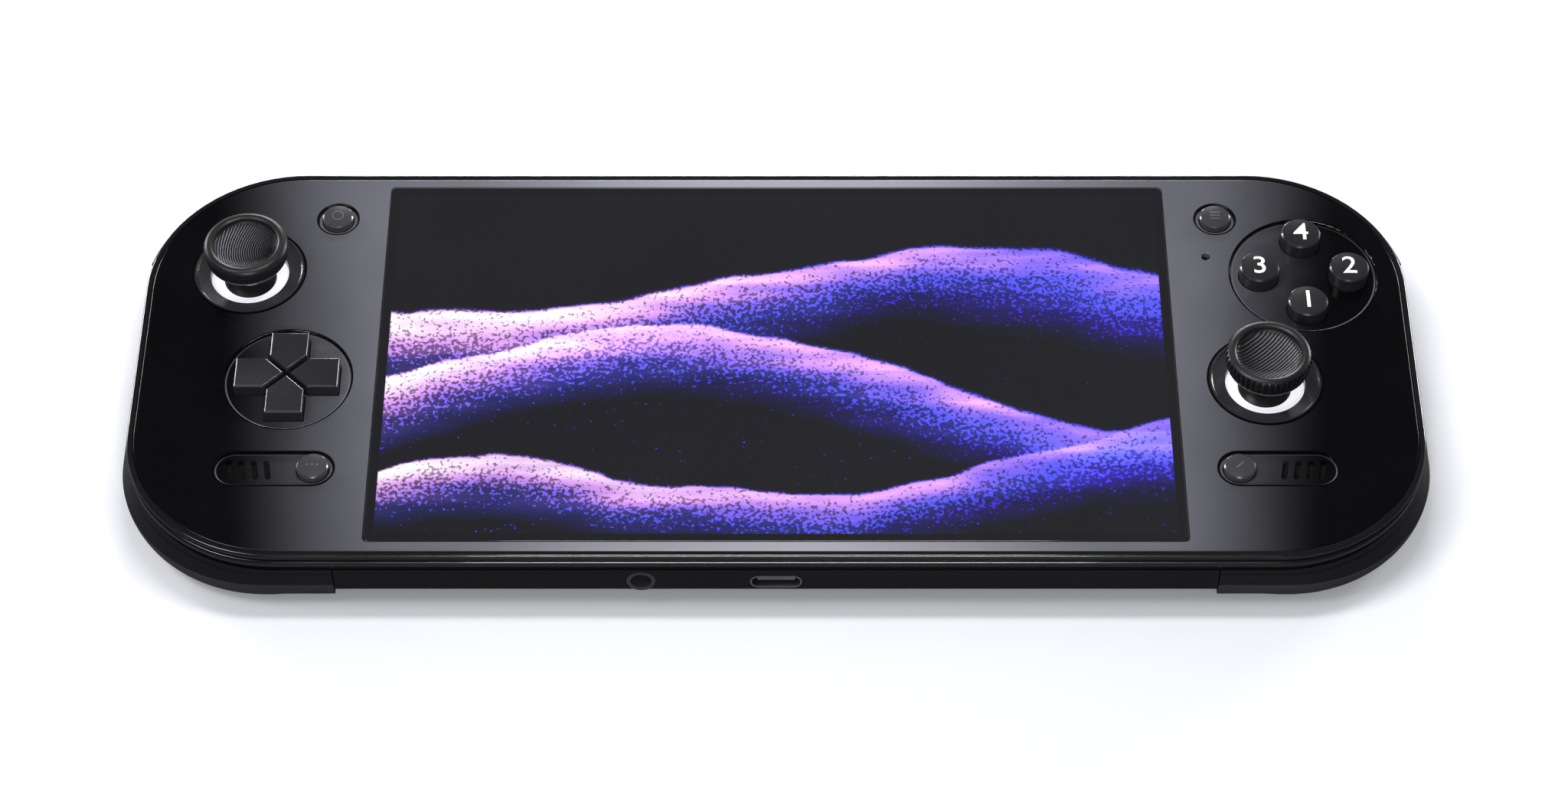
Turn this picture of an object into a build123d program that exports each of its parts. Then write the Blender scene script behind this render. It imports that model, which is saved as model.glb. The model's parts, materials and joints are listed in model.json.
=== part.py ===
from build123d import *
import math
import os

# Handheld game console, lying on its grips with the screen up.
# Millimetres; X runs along the console, Y away from the player, Z up from the table.

# Outline of the body, seen from above
frame_length = 224.8
frame_width = 87.5
corner_radius = 27.0
controls_length = 37.1
face_height = 15.0
end_flare = 1.7
run_clearance = 0.05
fit_gap = 0.15
overrun = 1.0

# Middle frame: two rounded beads over a dark undercut
upper_bead = 0.9
bead_groove = 0.9
lower_bead = 1.5
undercut = 1.3
bead_groove_depth = 0.5
undercut_depth = 0.9
upper_bead_round = 0.4
lower_bead_round = 0.6
frame_wall = 2.4
frame_ledge = 2.0
frame_ledge_height = 0.4

# Front cover and the glass set into it
cover_inset = 1.05
cover_thickness = 1.6
cover_round = 0.35
glass_end_gap = 5.3
glass_width = 81.0
glass_corner = 1.0
glass_thickness = 1.05
glass_drop = 0.15
glass_gap = 0.2
glass_ledge = 2.0
panel_margin = 2.3
panel_thickness = 2.0
recess_depth = 0.5
rim_round = 0.2

# Chassis plate, boards and what lies on them
chassis_end_gap = 0.8
chassis_thickness = 1.0
standoff_height = 1.0
standoff_radius = 2.2
board_thickness = 1.0
board_overhang = 16.0
board_end_gap = 3.3
board_edge_gap = 3.75
fan_bay_side = 23.0
fan_bay_near = -10.0
port_strip_overhang = 11.0
port_strip_depth = 14.0
battery_board_gap = 1.5
battery_end_gap = 5.8
battery_width = 58.0
battery_thickness = 4.4
battery_centre_y = 4.0
battery_round = 1.2
processor_fan_distance = 41.0
processor_y = 10.0
shield_side = 26.0
shield_thickness = 1.5
sink_side = 22.0
sink_base = 0.9
pipe_width = 5.0
pipe_thickness = 1.5
pipe_centre_y = 36.0
fin_count = 22
fin_thickness = 0.5
fin_depth = 6.4
fin_height = 3.6
fan_end_gap = 30.3
fan_y = 10.5
fan_radius = 19.0
fan_wall = 0.8
fan_bottom_gap = 0.8
fan_intake_radius = 13.0
rotor_radius = 18.0
rotor_hub_radius = 7.0
rotor_thickness = 3.0
rotor_pin_radius = 1.0
blade_count = 15
blade_thickness = 0.6
blade_sweep = 15.0

# Lower shells
shell_wall = 1.6
rear_bottom = 2.8
rear_round = 3.5
rear_inset = 0.5
housing_seam = 6.2
side_seam = 0.2
housing_wall = 1.8
grip_ramp_gap = 7.7
grip_ramp_run = 8.5
grip_wall = 1.5
vent_width = 1.4
vent_pitch = 3.2
vent_count = 9
exhaust_height = 2.6
exhaust_count = 12

# Screws
screw_radius = 1.0
screw_head_radius = 1.9
screw_head = 1.2
screw_recess = 0.3
post_radius = 2.6
boss_radius = 2.2
thread_gap = 0.05
grip_screw_gaps = ((2.9, 15.0), (28.7, -6.0), (4.7, -34.5))
board_screw_reach = (35.0, -18.0, -36.0)
board_screw_inset = 4.0
usb_screw_gap = 16.0
chassis_screw_gaps = ((-1, 9.3, -33.0), (-1, 5.3, 36.6), (1, 4.8, 36.6))

# Thumb sticks
left_stick_spot = (18.1, 20.4)
right_stick_spot = (26.8, -5.0)
collar_radius = 9.75
collar_flange = 0.85
collar_flange_thickness = 0.8
collar_lip = 0.1
collar_lip_width = 0.3
dish_outer = 9.2
dish_outer_drop = 0.3
dish_inner = 7.0
dish_inner_drop = 0.75
ring_seat_radius = 6.35
ring_seat_drop = 2.85
ring_seat_floor = 0.65
collar_boss_wall = 0.9
ring_inner = 4.6
ring_top_drop = 2.0
pivot_height = 7.0
dome_radius = 7.3
dome_wall = 0.8
dome_gap = 0.31
dome_edge_angle = 52.0
stick_cap_radius = 7.5
stick_rise = 7.7
cap_waist_radius = 4.9
cap_neck_radius = 2.2
cap_waist_height = 2.5
cap_rim_height = 2.5
cap_rim_round = 1.2
cap_neck_top = 2.2
bowl_radius = 5.6
bowl_depth = 1.5
shaft_radius = 1.0
shaft_bottom = 5.2
shaft_top = 18.6
module_side = 15.0
module_bottom = 3.9
module_top = 8.5
module_wall = 0.8
module_floor = 0.5
module_post = 1.3
yoke_length = 10.4
yoke_width = 6.2
yoke_thickness = 2.8
yoke_slot_length = 7.8
yoke_slot_width = 3.3
yoke_pin_radius = 0.8
rocker_side = 3.0
rocker_pin_radius = 0.6
stick_hole_radius = 9.0

# Buttons and keys
key_recess_radius = 11.1
key_recess_spot = (26.9, -4.8)
key_width = 6.6
key_reach = 9.1
key_gap = 0.7
key_rise = 2.0
key_round = 0.45
key_travel = 0.8
action_recess_radius = 13.0
action_spot_in = (18.15, 19.4)
action_spread = 8.0
action_radius = 3.5
action_rise = 2.6
action_crown = 0.5
action_travel = 1.0
small_radius = 2.75
small_rise = 1.1
small_travel = 0.5
small_recess_radius = 3.5
upper_small_spot = (33.1, 32.8)
lower_small_spot = (32.75, -24.8)
button_gap = 0.15
flange_thickness = 0.8
flange_drop = 0.2
flange_overlap = 0.9
membrane_thickness = 0.5
contact_dome_radius = 1.6
membrane_margin = 0.6
key_dome_reach = 6.0
switch_side = 4.0
switch_height = 1.0

# Speakers behind slanted slots in an oval recess
pill_length = 20.5
pill_width = 7.1
pill_spot = (26.0, -24.8)
slot_spots = (24.9, 22.75, 20.6, 18.45)
slot_length = 4.2
slot_width = 1.0
slot_slant = 10.0
speaker_length = 13.0
speaker_width = 9.0
speaker_spot = (20.9, -24.8)
mesh_thickness = 0.3

# Shoulder controls and top keys
bumper_start_gap = 35.4
bumper_end = 23.5
bumper_proud = 0.8
bumper_depth = 1.1
bumper_travel = 0.5
bumper_notch_depth = 1.75
bumper_top = 13.6
bumper_bottom = 10.6
trigger_start_gap = 33.4
trigger_end_gap = 15.7
trigger_gap = 0.3
trigger_top = 10.15
trigger_bottom = 4.2
trigger_wall = 2.4
trigger_pin_y = 38.2
trigger_pin_z = 8.6
trigger_pin_radius = 0.8
trigger_lug = 1.5
trigger_ear = 2.4
trigger_bar = 2.0
trigger_notch_bottom = 2.7
control_gap = 1.2
top_key_height = 2.4
top_key_z = 8.4
top_key_proud = 0.5
top_key_flange = 0.6
volume_pin_proud = 1.2
power_end_gap = 15.3
power_length = 8.0
volume_power_distance = 20.0
volume_length = 18.0

# Sockets, motors and the microphone hole
usb_width = 8.94
usb_height = 3.26
usb_depth = 7.5
usb_wall = 0.3
usb_tongue = 0.7
jack_usb_distance = 23.0
jack_radius = 1.8
jack_length = 11.0
jack_body_width = 6.0
jack_body_length = 9.0
jack_body_height = 5.0
jack_nose_radius = 2.5
motor_radius = 5.0
motor_height = 2.7
motor_spot = (15.9, -20.0)
mic_radius = 0.8
mic_spot = (35.3, 23.8)

# Places worked out from the sizes above; a spot is measured in from the body's end
half_length = frame_length / 2
centre_half = half_length - controls_length
glass_length = 2 * (centre_half - glass_end_gap)
chassis_length = 2 * (centre_half - chassis_end_gap)
fan_centre = (centre_half - fan_end_gap, fan_y)
fan_bay_left = fan_centre[0] - fan_bay_side
processor_centre = (fan_centre[0] - processor_fan_distance, processor_y)
board_left = processor_centre[0] - board_overhang
board_right = centre_half - board_end_gap
jack_place = -jack_usb_distance
port_strip_left = jack_place - port_strip_overhang
board_reach = frame_width / 2 - board_edge_gap
battery_left = battery_end_gap - centre_half
battery_length = board_left - battery_board_gap - battery_left
battery_centre = (battery_left + battery_length / 2, battery_centre_y)
grip_ramp_start = centre_half + grip_ramp_gap
grip_ramp_end = grip_ramp_start + grip_ramp_run
grip_screw_places = tuple((centre_half + gap, y) for gap, y in grip_screw_gaps)
board_screw_x = board_left + board_screw_inset
board_screw_places = (
    (board_screw_x, board_screw_reach[0]),
    (board_screw_x, board_screw_reach[1]),
    (board_right - board_screw_inset, board_screw_reach[2]),
    (usb_screw_gap, board_screw_reach[2]),
)
chassis_screw_places = tuple((side * (centre_half - gap), y) for side, gap, y in chassis_screw_gaps)
left_stick_place = (left_stick_spot[0] - half_length, left_stick_spot[1])
right_stick_place = (half_length - right_stick_spot[0], right_stick_spot[1])
key_recess_place = (key_recess_spot[0] - half_length, key_recess_spot[1])
action_place = (half_length - action_spot_in[0], action_spot_in[1])
upper_small_place = (half_length - upper_small_spot[0], upper_small_spot[1])
lower_small_place = (half_length - lower_small_spot[0], lower_small_spot[1])
pill_place = (half_length - pill_spot[0], pill_spot[1])
slot_places = [half_length - spot for spot in slot_spots]
speaker_place = (half_length - speaker_spot[0], speaker_spot[1])
motor_place = (half_length - motor_spot[0], motor_spot[1])
mic_place = (half_length - mic_spot[0], mic_spot[1])
bumper_start = half_length - bumper_start_gap
trigger_start = half_length - trigger_start_gap
trigger_end = half_length - trigger_end_gap
power_place = power_end_gap - centre_half
volume_place = power_place + volume_power_distance

# Levels worked out from the sizes above
frame_upper_groove = face_height - upper_bead
frame_lower_bead_top = frame_upper_groove - bead_groove
frame_lower_bead_bottom = frame_lower_bead_top - lower_bead
frame_bottom = frame_lower_bead_bottom - undercut
ledge_top = frame_bottom + frame_ledge_height
cover_bottom = face_height - cover_thickness
glass_top = face_height - glass_drop
glass_bottom = glass_top - glass_thickness
panel_bottom = glass_bottom - panel_thickness
chassis_bottom = ledge_top
chassis_top = chassis_bottom + chassis_thickness
board_top = chassis_bottom - standoff_height
board_bottom = board_top - board_thickness
control_top = frame_bottom - frame_ledge_height / 2
control_bottom = control_top - board_thickness
recess_floor = face_height - recess_depth
flange_top = cover_bottom - flange_drop
flange_bottom = flange_top - flange_thickness
membrane_top = control_top + membrane_thickness
rear_floor = rear_bottom + shell_wall
rear_half_width = frame_width / 2 - rear_inset
jack_back = rear_round + jack_body_length - rear_half_width
sides = ((-1, "left"), (1, "right"))

os.makedirs("parts", exist_ok=True)


def save(piece, name):
    """Label a finished piece and write its file."""
    piece.part.label = name
    export_step(piece.part, "parts/" + name + ".step")


def body_outline(inset, reach=0):
    """The body's rounded outline, drawn in by inset, its two ends moved out by reach."""
    length = frame_length - 2 * inset + 2 * reach
    return RectangleRounded(length, frame_width - 2 * inset, corner_radius - inset)


def slab(bottom, top, draw, mode=Mode.ADD):
    """Extrude what draw makes from one level to another."""
    with BuildSketch(Plane.XY.offset(bottom)) as section:
        draw()
    extrude(section.sketch, amount=top - bottom, mode=mode)


def disc(place, radius):
    """A circle at a place in the plan."""
    with Locations(place):
        Circle(radius)


def discs(places, radius):
    """A circle at each of several places."""
    for place in places:
        disc(place, radius)


def square(place, half):
    """An upright square round a place."""
    zone(place[0] - half, place[0] + half, place[1] - half, place[1] + half)


def zone(low_x, high_x, low_y, high_y, mode=Mode.ADD):
    """A rectangle in a sketch between four limits."""
    with Locations(((low_x + high_x) / 2, (low_y + high_y) / 2)):
        Rectangle(abs(high_x - low_x), high_y - low_y, mode=mode)


def cap_drop(reach, sag, at):
    """How far a shallow spherical cap falls from its crown at a radius."""
    ball = (reach**2 + sag**2) / (2 * sag)
    return ball - math.sqrt(ball**2 - at**2)


def side_zone(side):
    """The end of the plan that the side shells fill."""
    zone(side * (centre_half + side_seam), side * frame_length, -frame_width, frame_width)


def mirrored(side, place):
    """A place named for the right side, moved to the given side."""
    return (side * place[0], place[1])


def outline_loft(levels, ruled=False):
    """Loft the body outline through several levels, each with an inset and a reach."""
    sections = []
    for level, inset, reach in levels:
        with BuildSketch(Plane.XY.offset(level)) as section:
            body_outline(inset, reach)
        sections.append(section.sketch)
    loft(sections, ruled=ruled)


def round_last_bead(piece, radius):
    """Round the two rims of the bead added last."""
    groups = piece.edges().group_by(Axis.Z)
    fillet(groups[-1] + groups[-3], radius)


# Middle frame, with a notch for each bumper
def bumper_notch(side):
    """The plan of a bumper's notch, its travel included."""
    body_outline(-frame_wall)
    body_outline_cut(bumper_notch_depth)
    corner_zone(side, bumper_start - bumper_travel, bumper_end - bumper_travel)


def body_outline_cut(inset):
    """Take the middle of the outline away."""
    RectangleRounded(
        frame_length - 2 * inset,
        frame_width - 2 * inset,
        corner_radius - inset,
        mode=Mode.SUBTRACT,
    )


def corner_zone(side, start, end):
    """Keep only the far corner of the plan beyond start and end."""
    with Locations((side * (start + frame_length / 2), end + frame_width / 2)):
        Rectangle(frame_length, frame_width, mode=Mode.INTERSECT)


with BuildPart() as middle_frame:
    slab(frame_lower_bead_bottom, frame_lower_bead_top, lambda: body_outline(0))
    round_last_bead(middle_frame, lower_bead_round)
    slab(frame_upper_groove, face_height, lambda: body_outline(0))
    round_last_bead(middle_frame, upper_bead_round)
    slab(frame_bottom, frame_lower_bead_bottom, lambda: body_outline(undercut_depth))
    slab(frame_lower_bead_top, frame_upper_groove, lambda: body_outline(bead_groove_depth))
    slab(cover_bottom, face_height, lambda: body_outline(cover_inset), Mode.SUBTRACT)
    slab(ledge_top, cover_bottom, lambda: body_outline(frame_wall), Mode.SUBTRACT)
    slab(frame_bottom, ledge_top, lambda: body_outline(frame_wall + frame_ledge), Mode.SUBTRACT)
    for side, _ in sides:
        slab(frame_bottom, bumper_top + fit_gap, lambda: bumper_notch(side), Mode.SUBTRACT)
save(middle_frame, "middle_frame")


# Bumpers, each a band round one far corner
for side, side_name in sides:
    with BuildPart() as bumper:
        with BuildSketch(Plane.XY.offset(bumper_bottom)):
            body_outline(-bumper_proud)
            body_outline_cut(bumper_depth)
            corner_zone(side, bumper_start, bumper_end)
        extrude(amount=bumper_top - bumper_bottom)
        fillet(
            bumper.edges().filter_by(GeomType.CIRCLE).sort_by(SortBy.RADIUS)[-2:],
            bumper_proud / 2,
        )
    save(bumper, side_name + "_bumper")


# Front cover: openings for the glass, sticks, keys and speakers
def key_house(reach, half_width, grow=0):
    """A direction key's plan: straight sides and a point towards the middle."""
    tip = key_gap / math.sqrt(2) - grow * math.sqrt(2)
    side_y = half_width + grow
    outer = reach + grow
    return [
        (tip, 0),
        (tip + side_y, side_y),
        (outer, side_y),
        (outer, -side_y),
        (tip + side_y, -side_y),
    ]


full_turn = 360
key_names = ("right", "up", "left", "down")
key_angles = {name: full_turn * index / len(key_names) for index, name in enumerate(key_names)}
button_names = ("east", "north", "west", "south")
action_angles = {name: full_turn * index / len(button_names) for index, name in enumerate(button_names)}


def draw_key(angle, reach, half_width, grow=0):
    """One direction key's plan, turned to its place."""
    with Locations(key_recess_place):
        Polygon(*key_house(reach, half_width, grow), rotation=angle, align=None)


def action_spot(angle):
    """Where an action button stands."""
    turn = math.radians(angle)
    return (
        action_place[0] + action_spread * math.cos(turn),
        action_place[1] + action_spread * math.sin(turn),
    )


def speaker_slots(side):
    """The slanted speaker slots of one recess."""
    for slot_x in slot_places:
        with Locations((side * slot_x, pill_place[1])):
            SlotOverall(slot_length, slot_width, rotation=90 - side * slot_slant)


def glass_window(grow):
    """The glass outline, grown by a margin."""
    RectangleRounded(glass_length + 2 * grow, glass_width + 2 * grow, glass_corner)


stick_places = {"left": left_stick_place, "right": right_stick_place}
with BuildPart() as front_cover:
    slab(cover_bottom, face_height, lambda: body_outline(cover_inset + run_clearance))
    fillet(front_cover.edges().group_by(Axis.Z)[-1], cover_round)
    for side, _ in sides:
        slab(cover_bottom, bumper_top + fit_gap, lambda: bumper_notch(side), Mode.SUBTRACT)
    slab(glass_bottom, face_height, lambda: glass_window(glass_gap), Mode.SUBTRACT)
    slab(cover_bottom, glass_bottom, lambda: glass_window(-glass_ledge), Mode.SUBTRACT)
    slab(recess_floor, face_height, lambda: disc(key_recess_place, key_recess_radius), Mode.SUBTRACT)
    slab(recess_floor, face_height, lambda: disc(action_place, action_recess_radius), Mode.SUBTRACT)
    for side, side_name in sides:
        with BuildSketch(Plane.XY.offset(recess_floor)):
            with Locations(mirrored(side, pill_place)):
                SlotOverall(pill_length, pill_width)
            disc(mirrored(side, upper_small_place), small_recess_radius)
        extrude(amount=recess_depth, mode=Mode.SUBTRACT)
        with BuildSketch(Plane.XY.offset(cover_bottom)):
            disc(stick_places[side_name], collar_radius + run_clearance)
            disc(mirrored(side, upper_small_place), small_radius + button_gap)
            disc(mirrored(side, lower_small_place), small_radius + button_gap)
            speaker_slots(side)
        extrude(amount=cover_thickness, mode=Mode.SUBTRACT)
    with BuildSketch(Plane.XY.offset(cover_bottom)):
        for angle in key_angles.values():
            draw_key(angle, key_reach, key_width / 2, button_gap)
        for angle in action_angles.values():
            disc(action_spot(angle), action_radius + button_gap)
        disc(mic_place, mic_radius)
    extrude(amount=cover_thickness, mode=Mode.SUBTRACT)
    rims = front_cover.edges().filter_by(GeomType.CIRCLE).filter_by(lambda rim: rim.is_closed)
    fillet(rims.group_by(Axis.Z)[-1], rim_round)
    for side, _ in sides:
        with BuildSketch(Plane.XY.offset(control_top)):
            for place in grip_screw_places:
                disc(mirrored(side, place), boss_radius)
            for place in grip_screw_places:
                with Locations(mirrored(side, place)):
                    Circle(screw_radius + thread_gap, mode=Mode.SUBTRACT)
        extrude(amount=cover_bottom - control_top)
save(front_cover, "front_cover")


# Screen: the glass in the cover, the display panel glued under it
with BuildPart() as screen_glass:
    slab(glass_bottom, glass_top, lambda: glass_window(0))
    fillet(screen_glass.edges().group_by(Axis.Z)[-1], rim_round)
save(screen_glass, "screen_glass")

with BuildPart() as display_panel:
    slab(panel_bottom, glass_bottom, lambda: glass_window(-panel_margin))
save(display_panel, "display_panel")


# Chassis plate on the frame's ledge, with standoffs for the board
all_centre_screws = board_screw_places + chassis_screw_places
with BuildPart() as chassis_plate:
    with BuildSketch(Plane.XY.offset(chassis_bottom)):
        Rectangle(chassis_length, frame_width - 2 * (frame_wall + fit_gap))
    extrude(amount=chassis_thickness)
    with BuildSketch(Plane.XY.offset(board_top)):
        for place in board_screw_places:
            disc(place, standoff_radius)
    extrude(amount=standoff_height)
    with BuildSketch(Plane.XY.offset(board_top)):
        for place in all_centre_screws:
            disc(place, screw_radius + thread_gap)
    extrude(amount=chassis_top - board_top, mode=Mode.SUBTRACT)
save(chassis_plate, "chassis_plate")


# Main board: a plate round the fan bay, with a strip for the lower sockets
with BuildPart() as main_board:
    with BuildSketch(Plane.XY.offset(board_bottom)):
        zone(board_left, fan_bay_left, -board_reach, board_reach)
        zone(board_left, board_right, -board_reach, fan_bay_near)
        zone(port_strip_left, board_left, -board_reach, port_strip_depth - board_reach)
        zone(
            jack_place - jack_body_width / 2 - flange_drop,
            jack_place + jack_body_width / 2 + flange_drop,
            -board_reach,
            jack_back + flange_drop,
            Mode.SUBTRACT,
        )
        for place in all_centre_screws:
            with Locations(place):
                Circle(screw_radius + fit_gap, mode=Mode.SUBTRACT)
    extrude(amount=board_thickness)
save(main_board, "main_board")

with BuildPart() as processor_shield:
    with BuildSketch(Plane.XY.offset(board_bottom - shield_thickness)):
        with Locations(processor_centre):
            Rectangle(shield_side, shield_side)
    extrude(amount=shield_thickness)
    fillet(processor_shield.edges().filter_by(Axis.Z), battery_round)
save(processor_shield, "processor_shield")

with BuildPart() as battery:
    with BuildSketch(Plane.XY.offset(chassis_bottom - battery_thickness)):
        with Locations(battery_centre):
            Rectangle(battery_length, battery_width)
    extrude(amount=battery_thickness)
    fillet(battery.edges().filter_by(Axis.Z), battery_round)
    fillet(battery.edges().group_by(Axis.Z)[0], battery_round)
save(battery, "battery")


# Heat sink: plate on the shield, pipe along the board, fins at the exhaust
sink_top = board_bottom - shield_thickness
pipe_top = sink_top - sink_base
fin_end = fan_centre[0] + fan_radius - fan_wall
fin_start = fan_centre[0] - fan_radius + fan_wall
fin_pitch = (fin_end - fin_start) / (fin_count - 1)
with BuildPart() as heat_sink:
    with BuildSketch(Plane.XY.offset(pipe_top)):
        with Locations(processor_centre):
            Rectangle(sink_side, sink_side)
    extrude(amount=sink_base)
    with BuildSketch(Plane.XY.offset(pipe_top - pipe_thickness)) as pipe_plan:
        pipe_low_x = processor_centre[0] - pipe_width / 2
        pipe_high_y = pipe_centre_y + pipe_width / 2
        zone(pipe_low_x, fin_end, pipe_high_y - pipe_width, pipe_high_y)
        fillet(pipe_plan.vertices().sort_by(Axis.X)[0:1], fin_thickness)
        zone(pipe_low_x, pipe_low_x + pipe_width, processor_centre[1] - sink_side / 2, pipe_high_y)
        fillet(pipe_plan.vertices().group_by(Axis.Y)[-1].sort_by(Axis.X)[0:1], pipe_width)
    extrude(amount=pipe_thickness)
    with BuildSketch(Plane.XY.offset(pipe_top)):
        for index in range(fin_count):
            with Locations((fin_start + index * fin_pitch, pipe_centre_y)):
                Rectangle(fin_thickness, fin_depth)
    extrude(amount=fin_height)
save(heat_sink, "heat_sink")


# Fan: an open-bottomed housing under the chassis, with a bladed rotor on its pin
fan_near_fins = pipe_centre_y - fin_depth / 2 - fit_gap
fan_floor = rear_floor + fan_bottom_gap


def fan_plan(inset):
    """The fan housing's plan, open towards the fins."""
    with Locations(fan_centre):
        Circle(fan_radius + fan_wall - inset)
    zone(
        fan_centre[0] - fan_radius - fan_wall + inset,
        fan_centre[0] + fan_radius + fan_wall - inset,
        fan_centre[1],
        fan_near_fins,
    )


rotor_bottom = fan_floor + fan_wall + (chassis_bottom - fan_floor - 2 * fan_wall - rotor_thickness) / 2
with BuildPart() as fan_housing:
    slab(fan_floor, chassis_bottom, lambda: fan_plan(0))
    slab(fan_floor + fan_wall, chassis_bottom - fan_wall, lambda: fan_plan(fan_wall), Mode.SUBTRACT)
    slab(fan_floor, fan_floor + fan_wall, lambda: disc(fan_centre, fan_intake_radius), Mode.SUBTRACT)
    slab(rotor_bottom, chassis_bottom, lambda: disc(fan_centre, rotor_pin_radius))
save(fan_housing, "fan_housing")

with BuildPart() as fan_rotor:
    with BuildSketch(Plane.XY.offset(rotor_bottom)):
        blade_length = rotor_radius - rotor_hub_radius + blade_thickness
        with Locations(fan_centre):
            Circle(rotor_hub_radius)
            with PolarLocations(0, blade_count):
                with Locations((rotor_radius - blade_length / 2, rotor_hub_radius / 4)):
                    Rectangle(blade_length, blade_thickness, rotation=blade_sweep)
            Circle(rotor_pin_radius + run_clearance, mode=Mode.SUBTRACT)
    extrude(amount=rotor_thickness)
save(fan_rotor, "fan_rotor")


# Rear cover: the middle of the back, a channel along X
def rear_section(inset):
    """Section across the rear cover, inset from its outer surface."""
    half = frame_width / 2 - rear_inset - inset
    with BuildSketch(Plane.YZ.offset(-centre_half)) as section:
        with Locations((0, rear_bottom + inset)):
            Rectangle(2 * half, frame_bottom - rear_bottom - inset, align=(Align.CENTER, Align.MIN))
        fillet(section.vertices().group_by(Axis.Y)[0], rear_round - inset)
    return section.sketch


def screw_cuts(places, floor):
    """Bore and recess for the screws that come up through a floor."""
    bore = screw_radius + fit_gap
    recess = screw_head_radius + fit_gap
    recess_top = floor + screw_recess + screw_head
    for place in places:
        slab(floor, chassis_bottom, lambda: disc(place, bore), Mode.SUBTRACT)
        slab(floor - overrun, recess_top, lambda: disc(place, recess), Mode.SUBTRACT)


usb_z = board_bottom - usb_height / 2
jack_z = rear_floor + fan_bottom_gap / 2 + jack_body_height / 2
exhaust_pitch = (fin_end - fin_start) / exhaust_count
with BuildPart() as rear_cover:
    extrude(rear_section(0), amount=2 * centre_half)
    extrude(rear_section(shell_wall), amount=2 * centre_half, mode=Mode.SUBTRACT)
    slab(rear_bottom + shell_wall / 2, board_bottom, lambda: discs(board_screw_places, post_radius))
    slab(rear_bottom + shell_wall / 2, chassis_bottom, lambda: discs(chassis_screw_places, post_radius))
    screw_cuts(all_centre_screws, rear_bottom)
    with BuildSketch(Plane.XY.offset(rear_bottom)):
        for index in range(vent_count):
            vent_x = (index - (vent_count - 1) / 2) * vent_pitch
            chord = math.sqrt((fan_intake_radius + vent_pitch) ** 2 - vent_x**2)
            with Locations((fan_centre[0] + vent_x, fan_centre[1])):
                SlotOverall(2 * chord - vent_pitch, vent_width, rotation=90)
    extrude(amount=shell_wall, mode=Mode.SUBTRACT)
    with BuildSketch(Plane.XZ.offset(-rear_half_width)):
        for index in range(exhaust_count):
            with Locations((fin_start + (index + 1 / 2) * exhaust_pitch, top_key_z)):
                SlotOverall(exhaust_height, vent_width, rotation=90)
        with Locations((power_place, top_key_z)):
            SlotOverall(power_length + 2 * fit_gap, top_key_height + 2 * fit_gap)
        with Locations((volume_place, top_key_z)):
            SlotOverall(volume_length + 2 * fit_gap, top_key_height + 2 * fit_gap)
    extrude(amount=shell_wall, mode=Mode.SUBTRACT)
    with BuildSketch(Plane.XZ.offset(rear_half_width)):
        with Locations((0, usb_z)):
            SlotOverall(usb_width + 2 * fit_gap, usb_height + 2 * fit_gap)
        with Locations((jack_place, jack_z)):
            Circle(jack_nose_radius + fit_gap)
    extrude(amount=-rear_round, mode=Mode.SUBTRACT)
save(rear_cover, "rear_cover")


# Side housings: flared walls between the frame and the grips
def ear_zone(side):
    """The two blocks that carry a trigger's pin."""
    for low, high in (
        (trigger_start - trigger_gap - trigger_ear, trigger_start - trigger_gap),
        (trigger_end + trigger_gap, trigger_end + trigger_gap + trigger_ear),
    ):
        zone(side * low, side * high, trigger_pin_y - trigger_lug - trigger_bar / 2, frame_width / 2)


def bar_zone(side):
    """The bar behind a trigger that ties the housing's two ends together."""
    bar_far = trigger_pin_y - trigger_lug - trigger_gap
    bar_start = trigger_start - trigger_gap - trigger_ear
    zone(side * bar_start, side * ear_end, bar_far - trigger_bar, bar_far)


def trigger_zone(side, grow):
    """The plan of a trigger, grown by its gap."""
    near = trigger_pin_y - trigger_lug - grow
    zone(side * (trigger_start - grow), side * (trigger_end + grow), near, frame_width)


def across(low_x, high_x, draw, mode=Mode.ADD):
    """Extrude what draw makes on the YZ plane from one X to another."""
    with BuildSketch(Plane.YZ.offset(min(low_x, high_x))) as section:
        draw()
    extrude(section.sketch, amount=abs(high_x - low_x), mode=mode)


def pin_circle(radius):
    """A circle round the trigger pin's axis."""
    with Locations((trigger_pin_y, trigger_pin_z)):
        Circle(radius)


end_reach = end_flare + rear_inset
housing_levels = ((housing_seam, rear_inset, end_reach), (frame_bottom, rear_inset, 0))
housing_inner = rear_inset + housing_wall
ear_end = trigger_end + trigger_gap + trigger_ear
for side, side_name in sides:
    with BuildPart() as housing_hollow:
        slab(housing_seam, frame_bottom, lambda: body_outline(housing_inner))
        slab(trigger_pin_z - trigger_lug, frame_bottom, lambda: ear_zone(side), Mode.SUBTRACT)
        slab(housing_seam, control_bottom - fit_gap, lambda: bar_zone(side), Mode.SUBTRACT)
    with BuildPart() as side_housing:
        outline_loft(housing_levels)
        slab(housing_seam, frame_bottom, lambda: side_zone(side), Mode.INTERSECT)
        add(housing_hollow.part, mode=Mode.SUBTRACT)
        slab(housing_seam, frame_bottom, lambda: trigger_zone(side, trigger_gap), Mode.SUBTRACT)
        across(
            side * (trigger_start - trigger_gap - trigger_ear),
            side * ear_end,
            lambda: pin_circle(trigger_pin_radius),
            Mode.SUBTRACT,
        )
    save(side_housing, side_name + "_side_housing")


# Grips: shells that swell down to the table away from the middle
grip_level_shares = (0, 0.05, 0.18, 0.4, 0.7, 1.0)
grip_flat_inset = 4.5


def grip_inset(share):
    """How far a grip's outline is drawn in at a share of its height."""
    return grip_flat_inset * (1 - math.sqrt(1 - (1 - share) ** 2)) + rear_inset


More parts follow.
